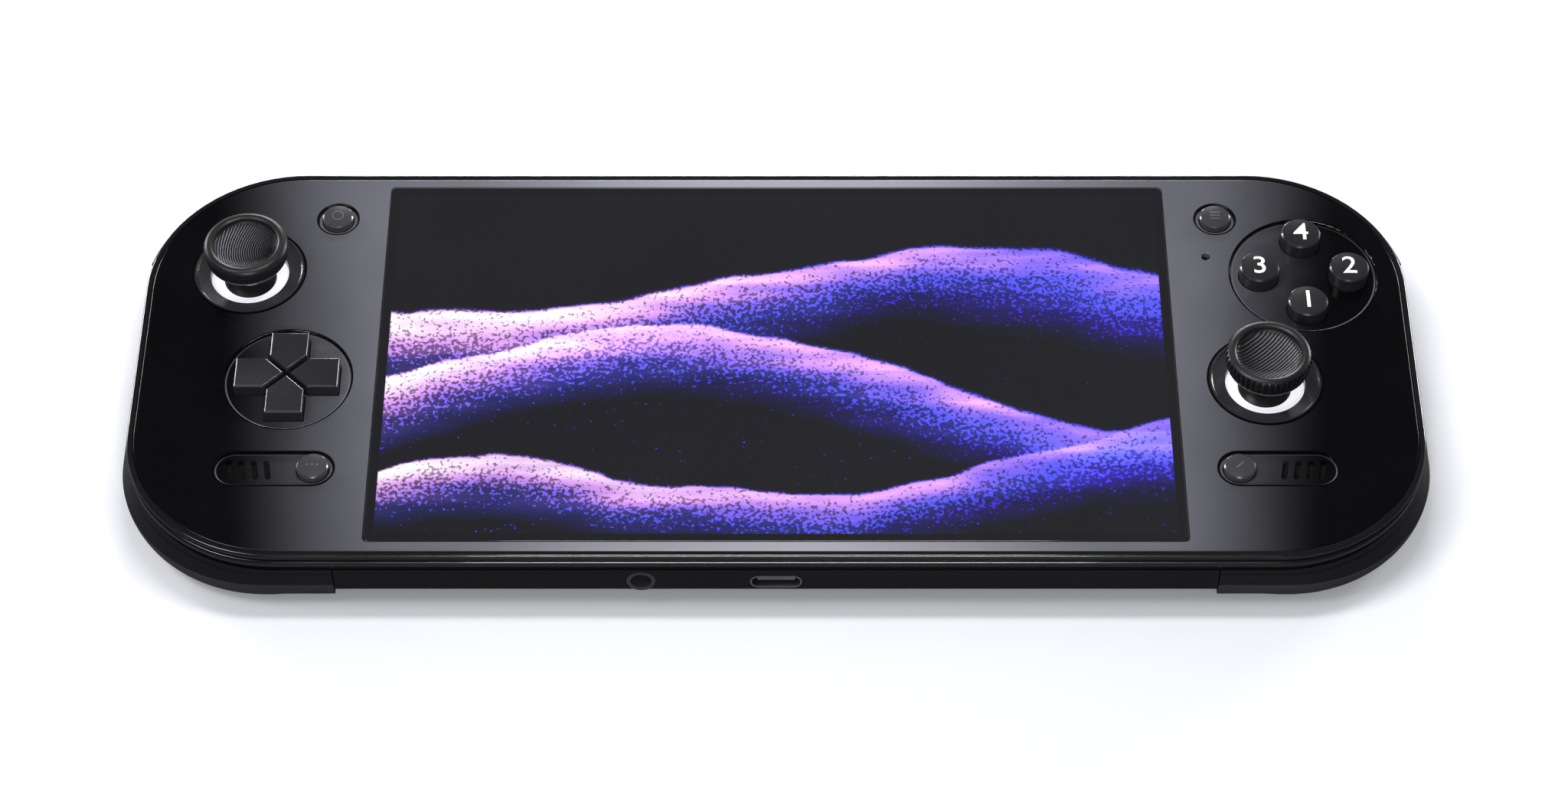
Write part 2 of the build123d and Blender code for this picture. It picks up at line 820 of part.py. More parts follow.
def grip_form(side, wall, side_wall):
    """A grip's outer form, or the hollow in it when the walls are given."""
    levels = [
        (wall + (housing_seam - wall) * share, grip_inset(share) + side_wall, end_reach)
        for share in grip_level_shares
    ]
    inner_end = side * (centre_half + side_seam)
    foot = (side * grip_ramp_end, wall)
    brow = (side * grip_ramp_start, rear_bottom + wall)
    with BuildPart() as form:
        outline_loft(levels)
        slab(0, housing_seam, lambda: side_zone(side), Mode.INTERSECT)
        with BuildSketch(Plane.XZ.offset(-frame_width)):
            with BuildLine():
                Line((inner_end - side * overrun, brow[1]), brow)
                Spline(brow, foot, tangents=((side, 0), (side, 0)))
                Line(foot, (foot[0], -overrun))
                Line((foot[0], -overrun), (inner_end - side * overrun, -overrun))
                Line((inner_end - side * overrun, -overrun), (inner_end - side * overrun, brow[1]))
            make_face()
        extrude(amount=2 * frame_width, mode=Mode.SUBTRACT)
    return form.part


def floor_under(place):
    """The level of the grip's underside at a screw."""
    return rear_bottom if place[0] < grip_ramp_start else 0


for side, side_name in sides:
    outer_form = grip_form(side, 0, 0)
    hollow_form = grip_form(side, grip_wall, housing_wall)
    stick_place = stick_places[side_name]
    with BuildPart() as grip:
        add(outer_form)
        add(hollow_form, mode=Mode.SUBTRACT)
        room_half = module_side / 2 + fit_gap
        slab(module_bottom, housing_seam, lambda: square(stick_place, room_half), Mode.SUBTRACT)
        for place in grip_screw_places:
            spot = mirrored(side, place)
            slab(floor_under(place) + grip_wall / 2, control_bottom, lambda: disc(spot, post_radius))
        slab(trigger_notch_bottom, housing_seam, lambda: trigger_zone(side, trigger_gap), Mode.SUBTRACT)
        for place in grip_screw_places:
            screw_cuts((mirrored(side, place),), floor_under(place))
    save(grip, side_name + "_grip")


# Triggers: curved plates hung from pins, behind the bumpers
def trigger_web():
    """The web from the pin out to the trigger's plate."""
    pin_circle(trigger_lug)
    zone(trigger_pin_y, frame_width / 2, trigger_pin_z - trigger_lug, trigger_pin_z + trigger_lug)


def shoulder_level(level, wall):
    """The lower shells' inset and reach at a level, drawn in by a wall."""
    if level < housing_seam:
        return (level, grip_inset(level / housing_seam) + wall, end_reach)
    rise_share = (level - housing_seam) / (frame_bottom - housing_seam)
    return (level, rear_inset + wall, end_reach * (1 - rise_share))


def trigger_levels(wall):
    """The levels of a trigger's outer face, or of its hollow."""
    return [shoulder_level(z, wall) for z in (trigger_bottom, housing_seam, trigger_top)]


for side, side_name in sides:
    low_x, high_x = side * trigger_start, side * trigger_end
    with BuildPart() as trigger_hollow:
        outline_loft(trigger_levels(trigger_wall), ruled=True)
        across(low_x, high_x, trigger_web, Mode.SUBTRACT)
    with BuildPart() as trigger:
        outline_loft(trigger_levels(0), ruled=True)
        slab(trigger_bottom, trigger_top, lambda: trigger_zone(side, 0), Mode.INTERSECT)
        add(trigger_hollow.part, mode=Mode.SUBTRACT)
        across(low_x, high_x, lambda: pin_circle(trigger_pin_radius + run_clearance), Mode.SUBTRACT)
    save(trigger, side_name + "_trigger")

with BuildPart() as trigger_pins:
    for side, _ in sides:
        ear_start = trigger_start - trigger_gap - trigger_ear
        across(side * ear_start, side * ear_end, lambda: pin_circle(trigger_pin_radius))
save(trigger_pins, "trigger_pins")


# Screws: flat heads with a hex socket, all seen from the back
def screw(place, floor, top):
    """One screw from its recess in a floor up to a level."""
    head_bottom = floor + screw_recess
    slab(head_bottom, head_bottom + screw_head, lambda: disc(place, screw_head_radius))
    slab(head_bottom, top, lambda: disc(place, screw_radius))
    with BuildSketch(Plane.XY.offset(head_bottom)) as socket:
        with Locations(place):
            RegularPolygon(screw_radius, 6)
    extrude(socket.sketch, amount=screw_head / 2, mode=Mode.SUBTRACT)


with BuildPart() as case_screws:
    for place in all_centre_screws:
        screw(place, rear_bottom, chassis_top - screw_recess)
    for side, _ in sides:
        for place in grip_screw_places:
            screw(mirrored(side, place), floor_under(place), cover_bottom - screw_recess)
save(case_screws, "case_screws")


# Control boards behind the sticks and keys, with switches for the small buttons
control_inset = housing_inner + control_gap
control_far = trigger_pin_y - trigger_lug - control_gap
switch_top = control_top + switch_height
for side, side_name in sides:
    with BuildPart() as control_board:
        with BuildSketch(Plane.XY.offset(control_bottom)):
            body_outline(control_inset)
            control_x = side * (centre_half + trigger_gap + frame_length / 2)
            with Locations((control_x, control_far - frame_width / 2)):
                Rectangle(frame_length, frame_width, mode=Mode.INTERSECT)
            with Locations(stick_places[side_name]):
                Circle(stick_hole_radius, mode=Mode.SUBTRACT)
            for place in grip_screw_places:
                with Locations(mirrored(side, place)):
                    Circle(screw_radius + fit_gap, mode=Mode.SUBTRACT)
        extrude(amount=board_thickness)
        with BuildSketch(Plane.XY.offset(control_top)):
            for place in (upper_small_place, lower_small_place):
                with Locations(mirrored(side, place)):
                    Rectangle(switch_side, switch_side)
        extrude(amount=switch_height)
    save(control_board, side_name + "_control_board")


# Rubber membranes, their domes drawn at the pressed height
def membrane(centre, radius, dome_places, dome_top, name):
    """A membrane disc with a dome under each key."""
    with BuildPart() as sheet:
        slab(control_top, membrane_top, lambda: disc(centre, radius))
        for place in dome_places:
            slab(membrane_top, dome_top, lambda: disc(place, contact_dome_radius))
        fillet(sheet.edges().group_by(Axis.Z)[-1], membrane_thickness / 2)
    save(sheet, name)


def key_spot(angle, reach):
    """A place at a reach from the middle of the direction keys."""
    turn = math.radians(angle)
    return (
        key_recess_place[0] + reach * math.cos(turn),
        key_recess_place[1] + reach * math.sin(turn),
    )


membrane(
    key_recess_place,
    key_reach + membrane_margin,
    [key_spot(angle, key_dome_reach) for angle in key_angles.values()],
    flange_bottom - key_travel - run_clearance,
    "direction_key_membrane",
)
membrane(
    action_place,
    action_recess_radius - membrane_margin,
    [action_spot(angle) for angle in action_angles.values()],
    flange_bottom - action_travel - run_clearance,
    "action_button_membrane",
)


# Direction keys
for key_name, angle in key_angles.items():
    with BuildPart() as key:
        slab(flange_top, face_height + key_rise, lambda: draw_key(angle, key_reach, key_width / 2))
        fillet(key.edges().group_by(Axis.Z)[-1], key_round)
        flange_reach = key_reach + flange_overlap
        slab(flange_bottom, flange_top, lambda: draw_key(angle, flange_reach, key_width / 2 + flange_overlap))
    save(key, "direction_key_" + key_name)


# Action buttons and the four small buttons
def round_button(place, radius, top, crown, bottom, name):
    """A round button with a flange under the cover and a crowned top."""
    section_plane = Plane(origin=(place[0], place[1], 0), x_dir=(1, 0, 0), z_dir=(0, -1, 0))
    flange_radius = radius + flange_overlap
    brim = (radius - crown / 2, top - crown / 2)
    with BuildPart() as button:
        with BuildSketch(section_plane):
            with BuildLine():
                Polyline(
                    (0, top),
                    (0, bottom),
                    (radius / 2, bottom),
                    (radius / 2, flange_bottom),
                    (flange_radius, flange_bottom),
                    (flange_radius, flange_top),
                    (radius, flange_top),
                    (radius, top - crown),
                )
                Line((radius, top - crown), brim)
                halfway = brim[0] / 2
                ThreePointArc(brim, (halfway, top - cap_drop(brim[0], crown / 2, halfway)), (0, top))
            make_face()
        revolve(axis=Axis((place[0], place[1], 0), (0, 0, 1)))
    save(button, name)


for button_name, angle in action_angles.items():
    round_button(
        action_spot(angle),
        action_radius,
        face_height + action_rise,
        action_crown,
        flange_bottom - run_clearance,
        "action_button_" + button_name,
    )
small_stem_bottom = switch_top + small_travel + run_clearance
for side, side_name in sides:
    for level_name, place in (("upper", upper_small_place), ("lower", lower_small_place)):
        round_button(
            mirrored(side, place),
            small_radius,
            face_height + small_rise,
            action_crown,
            small_stem_bottom,
            side_name + "_" + level_name + "_button",
        )


# Speakers on the control boards, with mesh between them and the slots
speaker_top = cover_bottom - mesh_thickness
with BuildPart() as speakers:
    with BuildSketch(Plane.XY.offset(control_top)):
        for side, _ in sides:
            with Locations(mirrored(side, speaker_place)):
                RectangleRounded(speaker_length, speaker_width, battery_round)
    extrude(amount=speaker_top - control_top)
save(speakers, "speakers")

with BuildPart() as speaker_meshes:
    with BuildSketch(Plane.XY.offset(speaker_top)):
        for side, _ in sides:
            with Locations(mirrored(side, speaker_place)):
                RectangleRounded(speaker_length - battery_round, pill_width, battery_round)
    extrude(amount=mesh_thickness)
save(speaker_meshes, "speaker_meshes")

with BuildPart() as rumble_motors:
    with BuildSketch(Plane.XY.offset(grip_wall)):
        for side, _ in sides:
            disc(mirrored(side, motor_place), motor_radius)
    extrude(amount=motor_height)
    fillet(rumble_motors.edges().group_by(Axis.Z)[-1], membrane_thickness)
save(rumble_motors, "rumble_motors")


# Thumb sticks: each a gimbal of yoke, rocker and shaft in a module, under a cap
def stick_plane(place):
    """The upright plane through a stick's axis, for its revolved pieces."""
    return Plane(origin=(place[0], place[1], 0), x_dir=(1, 0, 0), z_dir=(0, -1, 0))


def on_sphere(radius, angle):
    """A point of a sphere about the stick's pivot, by its angle from upright."""
    turn = math.radians(angle)
    return (radius * math.sin(turn), pivot_height + radius * math.cos(turn))


def sphere_arc(radius, first, last):
    """An arc of that sphere between two angles from upright."""
    ThreePointArc(on_sphere(radius, first), on_sphere(radius, (first + last) / 2), on_sphere(radius, last))


def revolved(place, name, draw, cut=None):
    """A piece revolved round a stick's axis."""
    axis = Axis((place[0], place[1], 0), (0, 0, 1))
    with BuildPart() as piece:
        with BuildSketch(stick_plane(place)) as section:
            draw()
        revolve(section.sketch, axis=axis)
        if cut:
            with BuildSketch(stick_plane(place)) as cutter:
                cut()
            revolve(cutter.sketch, axis=axis, mode=Mode.SUBTRACT)
    return piece


def half_ball():
    """Half the section of the space that a stick's dome sweeps."""
    radius = dome_radius + dome_gap
    with BuildLine() as rim:
        ThreePointArc(
            (0, pivot_height + radius),
            (radius, pivot_height),
            (0, pivot_height - radius),
        )
        Line((0, pivot_height - radius), (0, pivot_height + radius))
    make_face(rim.edges())


def draw_collar():
    """The collar's section: lip, sloping dish, ring seat, boss and flange."""
    seat_z = face_height - ring_seat_drop
    flange_floor = cover_bottom - collar_flange_thickness
    Polygon(
        (collar_radius, face_height + collar_lip),
        (collar_radius, cover_bottom),
        (collar_radius + collar_flange, cover_bottom),
        (collar_radius + collar_flange, flange_floor),
        (dish_inner + collar_boss_wall, flange_floor),
        (dish_inner + collar_boss_wall, seat_z - ring_seat_floor),
        (ring_seat_radius, seat_z - ring_seat_floor),
        (ring_seat_radius, seat_z),
        (dish_inner, seat_z),
        (dish_inner, face_height - dish_inner_drop),
        (dish_outer, face_height - dish_outer_drop),
        (collar_radius - collar_lip_width, face_height + collar_lip),
        align=None,
    )


def draw_ring():
    """The light ring's section, before the dome's space is taken out."""
    seat_z = face_height - ring_seat_drop
    Polygon(
        (ring_inner, seat_z),
        (dish_inner - run_clearance, seat_z),
        (dish_inner - run_clearance, face_height - ring_top_drop),
        (ring_inner, face_height - ring_top_drop),
        align=None,
    )


cap_top = face_height + stick_rise
bore_radius = shaft_radius + run_clearance
neck_angle = math.degrees(math.asin(cap_neck_radius / dome_radius))
bore_angle = math.degrees(math.asin(bore_radius / (dome_radius - dome_wall)))


def draw_cap():
    """The cap's section: dome, neck, flared skirt, rim and bowl."""
    waist_z = face_height + cap_waist_height
    inner = dome_radius - dome_wall
    with BuildLine() as edge:
        sphere_arc(inner, bore_angle, dome_edge_angle)
        Line(on_sphere(inner, dome_edge_angle), on_sphere(dome_radius, dome_edge_angle))
        sphere_arc(dome_radius, dome_edge_angle, neck_angle)
        Polyline(
            on_sphere(dome_radius, neck_angle),
            (cap_neck_radius, face_height + cap_neck_top),
            (cap_waist_radius, waist_z),
            (stick_cap_radius, cap_top - cap_rim_height),
            (stick_cap_radius, cap_top),
            (bowl_radius, cap_top),
        )
        halfway = bowl_radius / 2
        ThreePointArc(
            (bowl_radius, cap_top),
            (halfway, cap_top - bowl_depth + cap_drop(bowl_radius, bowl_depth, halfway)),
            (0, cap_top - bowl_depth),
        )
        Polyline(
            (0, cap_top - bowl_depth),
            (0, shaft_top + run_clearance),
            (bore_radius, shaft_top + run_clearance),
            on_sphere(inner, bore_angle),
        )
    make_face(edge.edges())


pocket_half = module_side / 2 - module_wall
for side_name, place in stick_places.items():
    collar = revolved(place, "collar", draw_collar, half_ball)
    save(collar, side_name + "_stick_collar")
    light_ring = revolved(place, "ring", draw_ring, half_ball)
    save(light_ring, side_name + "_light_ring")
    with BuildPart() as stick_cap:
        add(revolved(place, "cap", draw_cap).part)
        brims = stick_cap.edges().filter_by(GeomType.CIRCLE).group_by(Axis.Z)[-1]
        fillet(brims.sort_by(SortBy.RADIUS)[-1], cap_rim_round)
        fillet(stick_cap.edges().group_by(Axis.Z)[-1].sort_by(SortBy.RADIUS)[0], cap_rim_round / 3)
    save(stick_cap, side_name + "_stick_cap")
    with BuildPart() as stick_shaft:
        slab(shaft_bottom, shaft_top, lambda: disc(place, shaft_radius))
    save(stick_shaft, side_name + "_stick_shaft")

    with BuildPart() as stick_module:
        x, y = place
        half = module_side / 2
        slab(module_bottom, module_top, lambda: square(place, half))
        with BuildSketch(Plane.XY.offset(module_bottom)):
            with Locations(place):
                with GridLocations(module_side - module_post, module_side - module_post, 2, 2):
                    Rectangle(module_post, module_post)
        extrude(amount=control_bottom - module_bottom)
        pocket_floor = module_bottom + module_floor
        slab(pocket_floor, module_top, lambda: square(place, pocket_half), Mode.SUBTRACT)
        with BuildSketch(Plane.YZ.offset(x - half)):
            with Locations((y, pivot_height)):
                Circle(yoke_pin_radius + run_clearance)
        extrude(amount=module_side, mode=Mode.SUBTRACT)
    save(stick_module, side_name + "_stick_module")

    with BuildPart() as stick_yoke:
        with BuildSketch(Plane.XY.offset(pivot_height - yoke_thickness / 2)):
            with Locations(place):
                Rectangle(yoke_length, yoke_width)
                Rectangle(yoke_slot_length, yoke_slot_width, mode=Mode.SUBTRACT)
        extrude(amount=yoke_thickness)
        pin_end = half - run_clearance * 2
        for low_x in (x - pin_end, x + yoke_length / 2 - module_wall / 2):
            with BuildSketch(Plane.YZ.offset(low_x)):
                with Locations((y, pivot_height)):
                    Circle(yoke_pin_radius)
            extrude(amount=pin_end - yoke_length / 2 + module_wall / 2)
        with BuildSketch(Plane.XZ.offset(-y - yoke_width / 2)):
            with Locations((x, pivot_height)):
                Circle(rocker_pin_radius + run_clearance)
        extrude(amount=yoke_width, mode=Mode.SUBTRACT)
    save(stick_yoke, side_name + "_stick_yoke")

    with BuildPart() as stick_rocker:
        with BuildSketch(Plane.XY.offset(pivot_height - yoke_thickness / 2)):
            with Locations(place):
                Rectangle(rocker_side, rocker_side)
        extrude(amount=yoke_thickness)
        rocker_pin_reach = yoke_width / 2 - fit_gap
        with BuildSketch(Plane.XZ.offset(-y - rocker_pin_reach)):
            with Locations((x, pivot_height)):
                Circle(rocker_pin_radius)
        extrude(amount=2 * rocker_pin_reach)
        rocker_bottom = pivot_height - yoke_thickness / 2
        rocker_top = rocker_bottom + yoke_thickness
        slab(rocker_bottom, rocker_top, lambda: disc(place, bore_radius), Mode.SUBTRACT)
    save(stick_rocker, side_name + "_stick_rocker")


# Sockets in the lower side
with BuildPart() as usb_port:
    with BuildSketch(Plane.XZ.offset(rear_half_width)):
        with Locations((0, usb_z)):
            SlotOverall(usb_width, usb_height)
    extrude(amount=-usb_depth)
    with BuildSketch(Plane.XZ.offset(rear_half_width)):
        with Locations((0, usb_z)):
            SlotOverall(usb_width - 2 * usb_wall, usb_height - 2 * usb_wall)
    extrude(amount=usb_wall - usb_depth, mode=Mode.SUBTRACT)
    with BuildSketch(Plane.XZ.offset(rear_half_width - usb_tongue)):
        with Locations((0, usb_z)):
            Rectangle(usb_width - usb_height + usb_tongue, usb_tongue)
    extrude(amount=usb_tongue - usb_depth)
save(usb_port, "usb_port")

with BuildPart() as headphone_jack:
    with BuildSketch(Plane.XZ.offset(rear_half_width - rear_round)):
        with Locations((jack_place, jack_z)):
            Rectangle(jack_body_width, jack_body_height)
    extrude(amount=-jack_body_length)
    with BuildSketch(Plane.XZ.offset(rear_half_width)):
        with Locations((jack_place, jack_z)):
            Circle(jack_nose_radius)
    extrude(amount=-rear_round)
    with BuildSketch(Plane.XZ.offset(rear_half_width)):
        with Locations((jack_place, jack_z)):
            Circle(jack_radius)
    extrude(amount=-jack_length, mode=Mode.SUBTRACT)
save(headphone_jack, "headphone_jack")


# Power button and volume key in the far side
def top_key(place_x, length, flange_gap, pin_proud, name):
    """A key through the rear cover's far wall, with a flange inside and a pivot stub."""
    inner_wall = rear_half_width - shell_wall
    with BuildPart() as key:
        with BuildSketch(Plane.XZ.offset(-rear_half_width - top_key_proud)):
            with Locations((place_x, top_key_z)):
                SlotOverall(length, top_key_height)
        extrude(amount=shell_wall + top_key_proud + flange_gap)
        fillet(key.edges().group_by(Axis.Y)[-1], fit_gap)
        with BuildSketch(Plane.XZ.offset(flange_gap - inner_wall)):
            with Locations((place_x, top_key_z)):
                SlotOverall(length + 2 * top_key_flange, top_key_height + 2 * top_key_flange)
        extrude(amount=flange_thickness)
        if pin_proud:
            pin_top = top_key_z - top_key_height / 2 - top_key_flange
            pin_place = (place_x, inner_wall - flange_gap - flange_thickness / 2)
            slab(pin_top - pin_proud, top_key_z, lambda: disc(pin_place, flange_thickness / 2))
    save(key, name)


top_key(power_place, power_length, fit_gap, 0, "power_button")
top_key(volume_place, volume_length, 2 * flange_drop, volume_pin_proud, "volume_key")
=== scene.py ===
import json
import math
import bmesh
import bpy
from mathutils import Matrix, Vector
from mathutils.bvhtree import BVHTree


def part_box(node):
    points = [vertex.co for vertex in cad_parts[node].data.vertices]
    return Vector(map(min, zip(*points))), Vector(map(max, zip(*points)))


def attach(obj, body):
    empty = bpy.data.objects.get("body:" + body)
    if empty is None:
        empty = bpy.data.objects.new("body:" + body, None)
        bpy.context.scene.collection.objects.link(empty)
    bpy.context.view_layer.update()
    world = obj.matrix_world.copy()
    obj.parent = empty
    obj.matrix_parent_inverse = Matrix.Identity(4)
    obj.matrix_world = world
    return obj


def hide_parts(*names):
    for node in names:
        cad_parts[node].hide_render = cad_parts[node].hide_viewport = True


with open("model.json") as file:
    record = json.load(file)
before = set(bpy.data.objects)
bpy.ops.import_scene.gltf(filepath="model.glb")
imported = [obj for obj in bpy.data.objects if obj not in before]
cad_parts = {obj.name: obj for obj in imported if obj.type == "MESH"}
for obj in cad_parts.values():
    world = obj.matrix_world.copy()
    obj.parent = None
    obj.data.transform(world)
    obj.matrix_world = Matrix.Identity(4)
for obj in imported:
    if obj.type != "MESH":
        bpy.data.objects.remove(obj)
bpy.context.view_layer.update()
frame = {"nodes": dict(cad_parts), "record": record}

mm = 0.001
nodeSlots = {row["node"]: row["material_slot"] for row in frame["record"]["subparts"]}
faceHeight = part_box("front_cover")[1][2]
print("frame loaded, face at", round(faceHeight / mm, 2), "mm")


# Camera and studio
cameraView = {
    "place": (1.36 * mm, -447.8 * mm, 547.7 * mm),
    "tilt": math.radians(39.5),
    "lens": 90.9,
    "sensor": 36.0,
    "clipStart": 10 * mm,
}
cameraData = bpy.data.cameras.new("camera")
cameraData.lens = cameraView["lens"]
cameraData.sensor_width = cameraView["sensor"]
cameraData.clip_start = cameraView["clipStart"]
camera = bpy.data.objects.new("camera", cameraData)
camera.location = cameraView["place"]
camera.rotation_euler = (cameraView["tilt"], 0, 0)
bpy.context.collection.objects.link(camera)
bpy.context.scene.camera = camera
bpy.context.scene.view_settings.view_transform = "Standard"

studio = {
    "floorColour": (0.80, 0.81, 0.84, 1),
    "floorHalf": 3.0,
    "floorMirrored": (0.10, 0.10, 0.11, 1),
    # the mirrored floor turns from dark to bright between these depths
    "mirroredFrom": (0.05, 0.12),
    "floorRoughness": 0.6,
    "worldColour": (0.86, 0.88, 0.92, 1),
    "fill": 0.42,
    "mirrored": 0.07,
    # place, target, size, power
    "lamps": {
        "keyLamp": ((-0.45, -0.15, 0.8), (0, 0, 0), (0.3, 0.3), 2.5),
        "backLamp": ((0.0, 1.0, 0.30), (0, 0, 0.01), (0.4, 0.05), 6.5),
        "topLamp": ((0.0, 0.0, 0.34), (0, 0, 0.01), (0.14, 0.03), 0.55),
        "edgeLamp": ((0.0, -0.8, 0.5), (0, 0, 0.01), (0.25, 0.06), 3.6),
        "leftLamp": ((-0.55, 0.42, 0.13), (0, 0, 0.01), (0.2, 0.05), 2.2),
        "rightLamp": ((0.55, 0.42, 0.13), (0, 0, 0.01), (0.2, 0.05), 2.2),
    },
}


def addLamp(name, place, target, size, power):
    lamp = bpy.data.lights.new(name, "AREA")
    lamp.shape = "RECTANGLE"
    lamp.size, lamp.size_y = size
    lamp.energy = power
    lampObject = bpy.data.objects.new(name, lamp)
    aim = Vector(target) - Vector(place)
    lampObject.rotation_euler = aim.to_track_quat("-Z", "Y").to_euler()
    lampObject.location = place
    bpy.context.collection.objects.link(lampObject)


for lampName, lampSettings in studio["lamps"].items():
    addLamp(lampName, *lampSettings)


# Adds a node, sets its fields, then its inputs by name or number; a socket value is linked
def addNode(tree, kind, inputs=None, **fields):
    node = tree.nodes.new(kind)
    for field, value in fields.items():
        setattr(node, field, value)
    for key, value in (inputs or {}).items():
        if isinstance(value, bpy.types.NodeSocket):
            tree.links.new(value, node.inputs[key])
        else:
            node.inputs[key].default_value = value
    return node


def mathNode(tree, operation, first, second=0.0, third=0.0):
    return addNode(tree, "ShaderNodeMath", {0: first, 1: second, 2: third}, operation=operation).outputs[0]


# Maps a value from one pair of bounds to another
def rangeNode(tree, value, source, target=(0.0, 1.0), **fields):
    bounds = {"Value": value, 1: source[0], 2: source[1], 3: target[0], 4: target[1]}
    return addNode(tree, "ShaderNodeMapRange", bounds, **fields).outputs[0]


# Blends two colours by a share
def blendNode(tree, share, first, second, **fields):
    colours = {"Factor": share, 6: first, 7: second}
    return addNode(tree, "ShaderNodeMix", colours, data_type="RGBA", **fields).outputs[2]


def noiseNode(tree, place, scale, detail):
    settings = {"Vector": place, "Scale": scale, "Detail": detail}
    return addNode(tree, "ShaderNodeTexNoise", settings).outputs[0]


def objectPlace(tree):
    return addNode(tree, "ShaderNodeTexCoord").outputs["Object"]


def setWorld():
    world = bpy.data.worlds.new("studio")
    world.use_nodes = True
    tree = world.node_tree
    tree.nodes.clear()
    rays = addNode(tree, "ShaderNodeLightPath")
    seen = mathNode(tree, "MAXIMUM", rays.outputs["Is Camera Ray"], rays.outputs["Is Transmission Ray"])
    strength = mathNode(tree, "MULTIPLY_ADD", seen, 1.0 - studio["fill"], studio["fill"])
    gloss = mathNode(tree, "MULTIPLY", rays.outputs["Is Glossy Ray"], studio["mirrored"] - studio["fill"])
    strength = mathNode(tree, "ADD", strength, gloss)
    back = addNode(tree, "ShaderNodeBackground", {"Color": studio["worldColour"], "Strength": strength})
    out = addNode(tree, "ShaderNodeOutputWorld")
    tree.links.new(back.outputs[0], out.inputs[0])
    bpy.context.scene.world = world


setWorld()
print("camera, lamps and world set")


# Shared effects, each a node group
def startGroup(name, inputs, outputs):
    group = bpy.data.node_groups.new(name, "ShaderNodeTree")
    for socketName, kind, value in inputs:
        socket = group.interface.new_socket(name=socketName, in_out="INPUT", socket_type=kind)
        socket.default_value = value
    for socketName, kind in outputs:
        group.interface.new_socket(name=socketName, in_out="OUTPUT", socket_type=kind)
    return group, group.nodes.new("NodeGroupInput").outputs, group.nodes.new("NodeGroupOutput").inputs


# Fine moulded grain: a bumped normal and a roughness that drifts between two values
grainLook = {
    "detail": 3.0,
    "height": 0.1 * mm,
    "driftScale": 55.0,
    "driftDetail": 5.0,
    "drift": (0.35, 0.65),
}


def makeGrainGroup():
    number, vector = "NodeSocketFloat", "NodeSocketVector"
    group, given, result = startGroup(
        "mouldedGrain",
        [("Scale", number, 900.0), ("Depth", number, 0.1), ("Low", number, 0.3), ("High", number, 0.4)],
        [("Roughness", number), ("Normal", vector)],
    )
    place = objectPlace(group)
    grain = noiseNode(group, place, given["Scale"], grainLook["detail"])
    drift = noiseNode(group, place, grainLook["driftScale"], grainLook["driftDetail"])
    spread = rangeNode(group, drift, grainLook["drift"], (given["Low"], given["High"]))
    bump = addNode(
        group, "ShaderNodeBump",
        {"Height": grain, "Strength": given["Depth"], "Distance": grainLook["height"]},
    )
    group.links.new(spread, result["Roughness"])
    group.links.new(bump.outputs[0], result["Normal"])
    return group


# Colour that drifts softly between two tones, with sparse fine specks
toneLook = {
    "detail": 6.0,
    "cloud": (0.3, 0.7),
    "speckScale": 1400.0,
    "speckDetail": 1.0,
    "speck": (0.66, 0.74),
    "speckShare": 0.35,
}


def makeToneGroup():
    colour, number = "NodeSocketColor", "NodeSocketFloat"
    group, given, result = startGroup(
        "driftingTone",
        [("First", colour, (0, 0, 0, 1)), ("Second", colour, (1, 1, 1, 1)), ("Scale", number, 40.0)],
        [("Colour", colour)],
    )
    place = objectPlace(group)
    cloud = noiseNode(group, place, given["Scale"], toneLook["detail"])
    specks = noiseNode(group, place, toneLook["speckScale"], toneLook["speckDetail"])
    share = rangeNode(group, cloud, toneLook["cloud"])
    dots = rangeNode(group, specks, toneLook["speck"], (0.0, toneLook["speckShare"]))
    total = mathNode(group, "ADD", share, dots)
    blended = blendNode(group, total, given["First"], given["Second"])
    group.links.new(blended, result["Colour"])
    return group


grainGroup = makeGrainGroup()
toneGroup = makeToneGroup()


# A material with its shader's constants set on the shader's own sockets
def startMaterial(name, **constants):
    material = bpy.data.materials.new(name)
    material.use_nodes = True
    tree = material.node_tree
    shader = tree.nodes["Principled BSDF"]
    for socketName, value in constants.items():
        shader.inputs[socketName.replace("_", " ")].default_value = value
    return material, tree, shader


def grainFor(tree, shader, scale, depth, low, high):
    grain = addNode(tree, "ShaderNodeGroup", node_tree=grainGroup)
    for key, value in (("Scale", scale), ("Depth", depth), ("Low", low), ("High", high)):
        grain.inputs[key].default_value = value
    tree.links.new(grain.outputs["Roughness"], shader.inputs["Roughness"])
    tree.links.new(grain.outputs["Normal"], shader.inputs["Normal"])
    return grain


def toneFor(tree, first, second, scale):
    tone = addNode(tree, "ShaderNodeGroup", node_tree=toneGroup)
    tone.inputs["First"].default_value = (*first, 1)
    tone.inputs["Second"].default_value = (*second, 1)
    tone.inputs["Scale"].default_value = scale
    return tone.outputs[0]


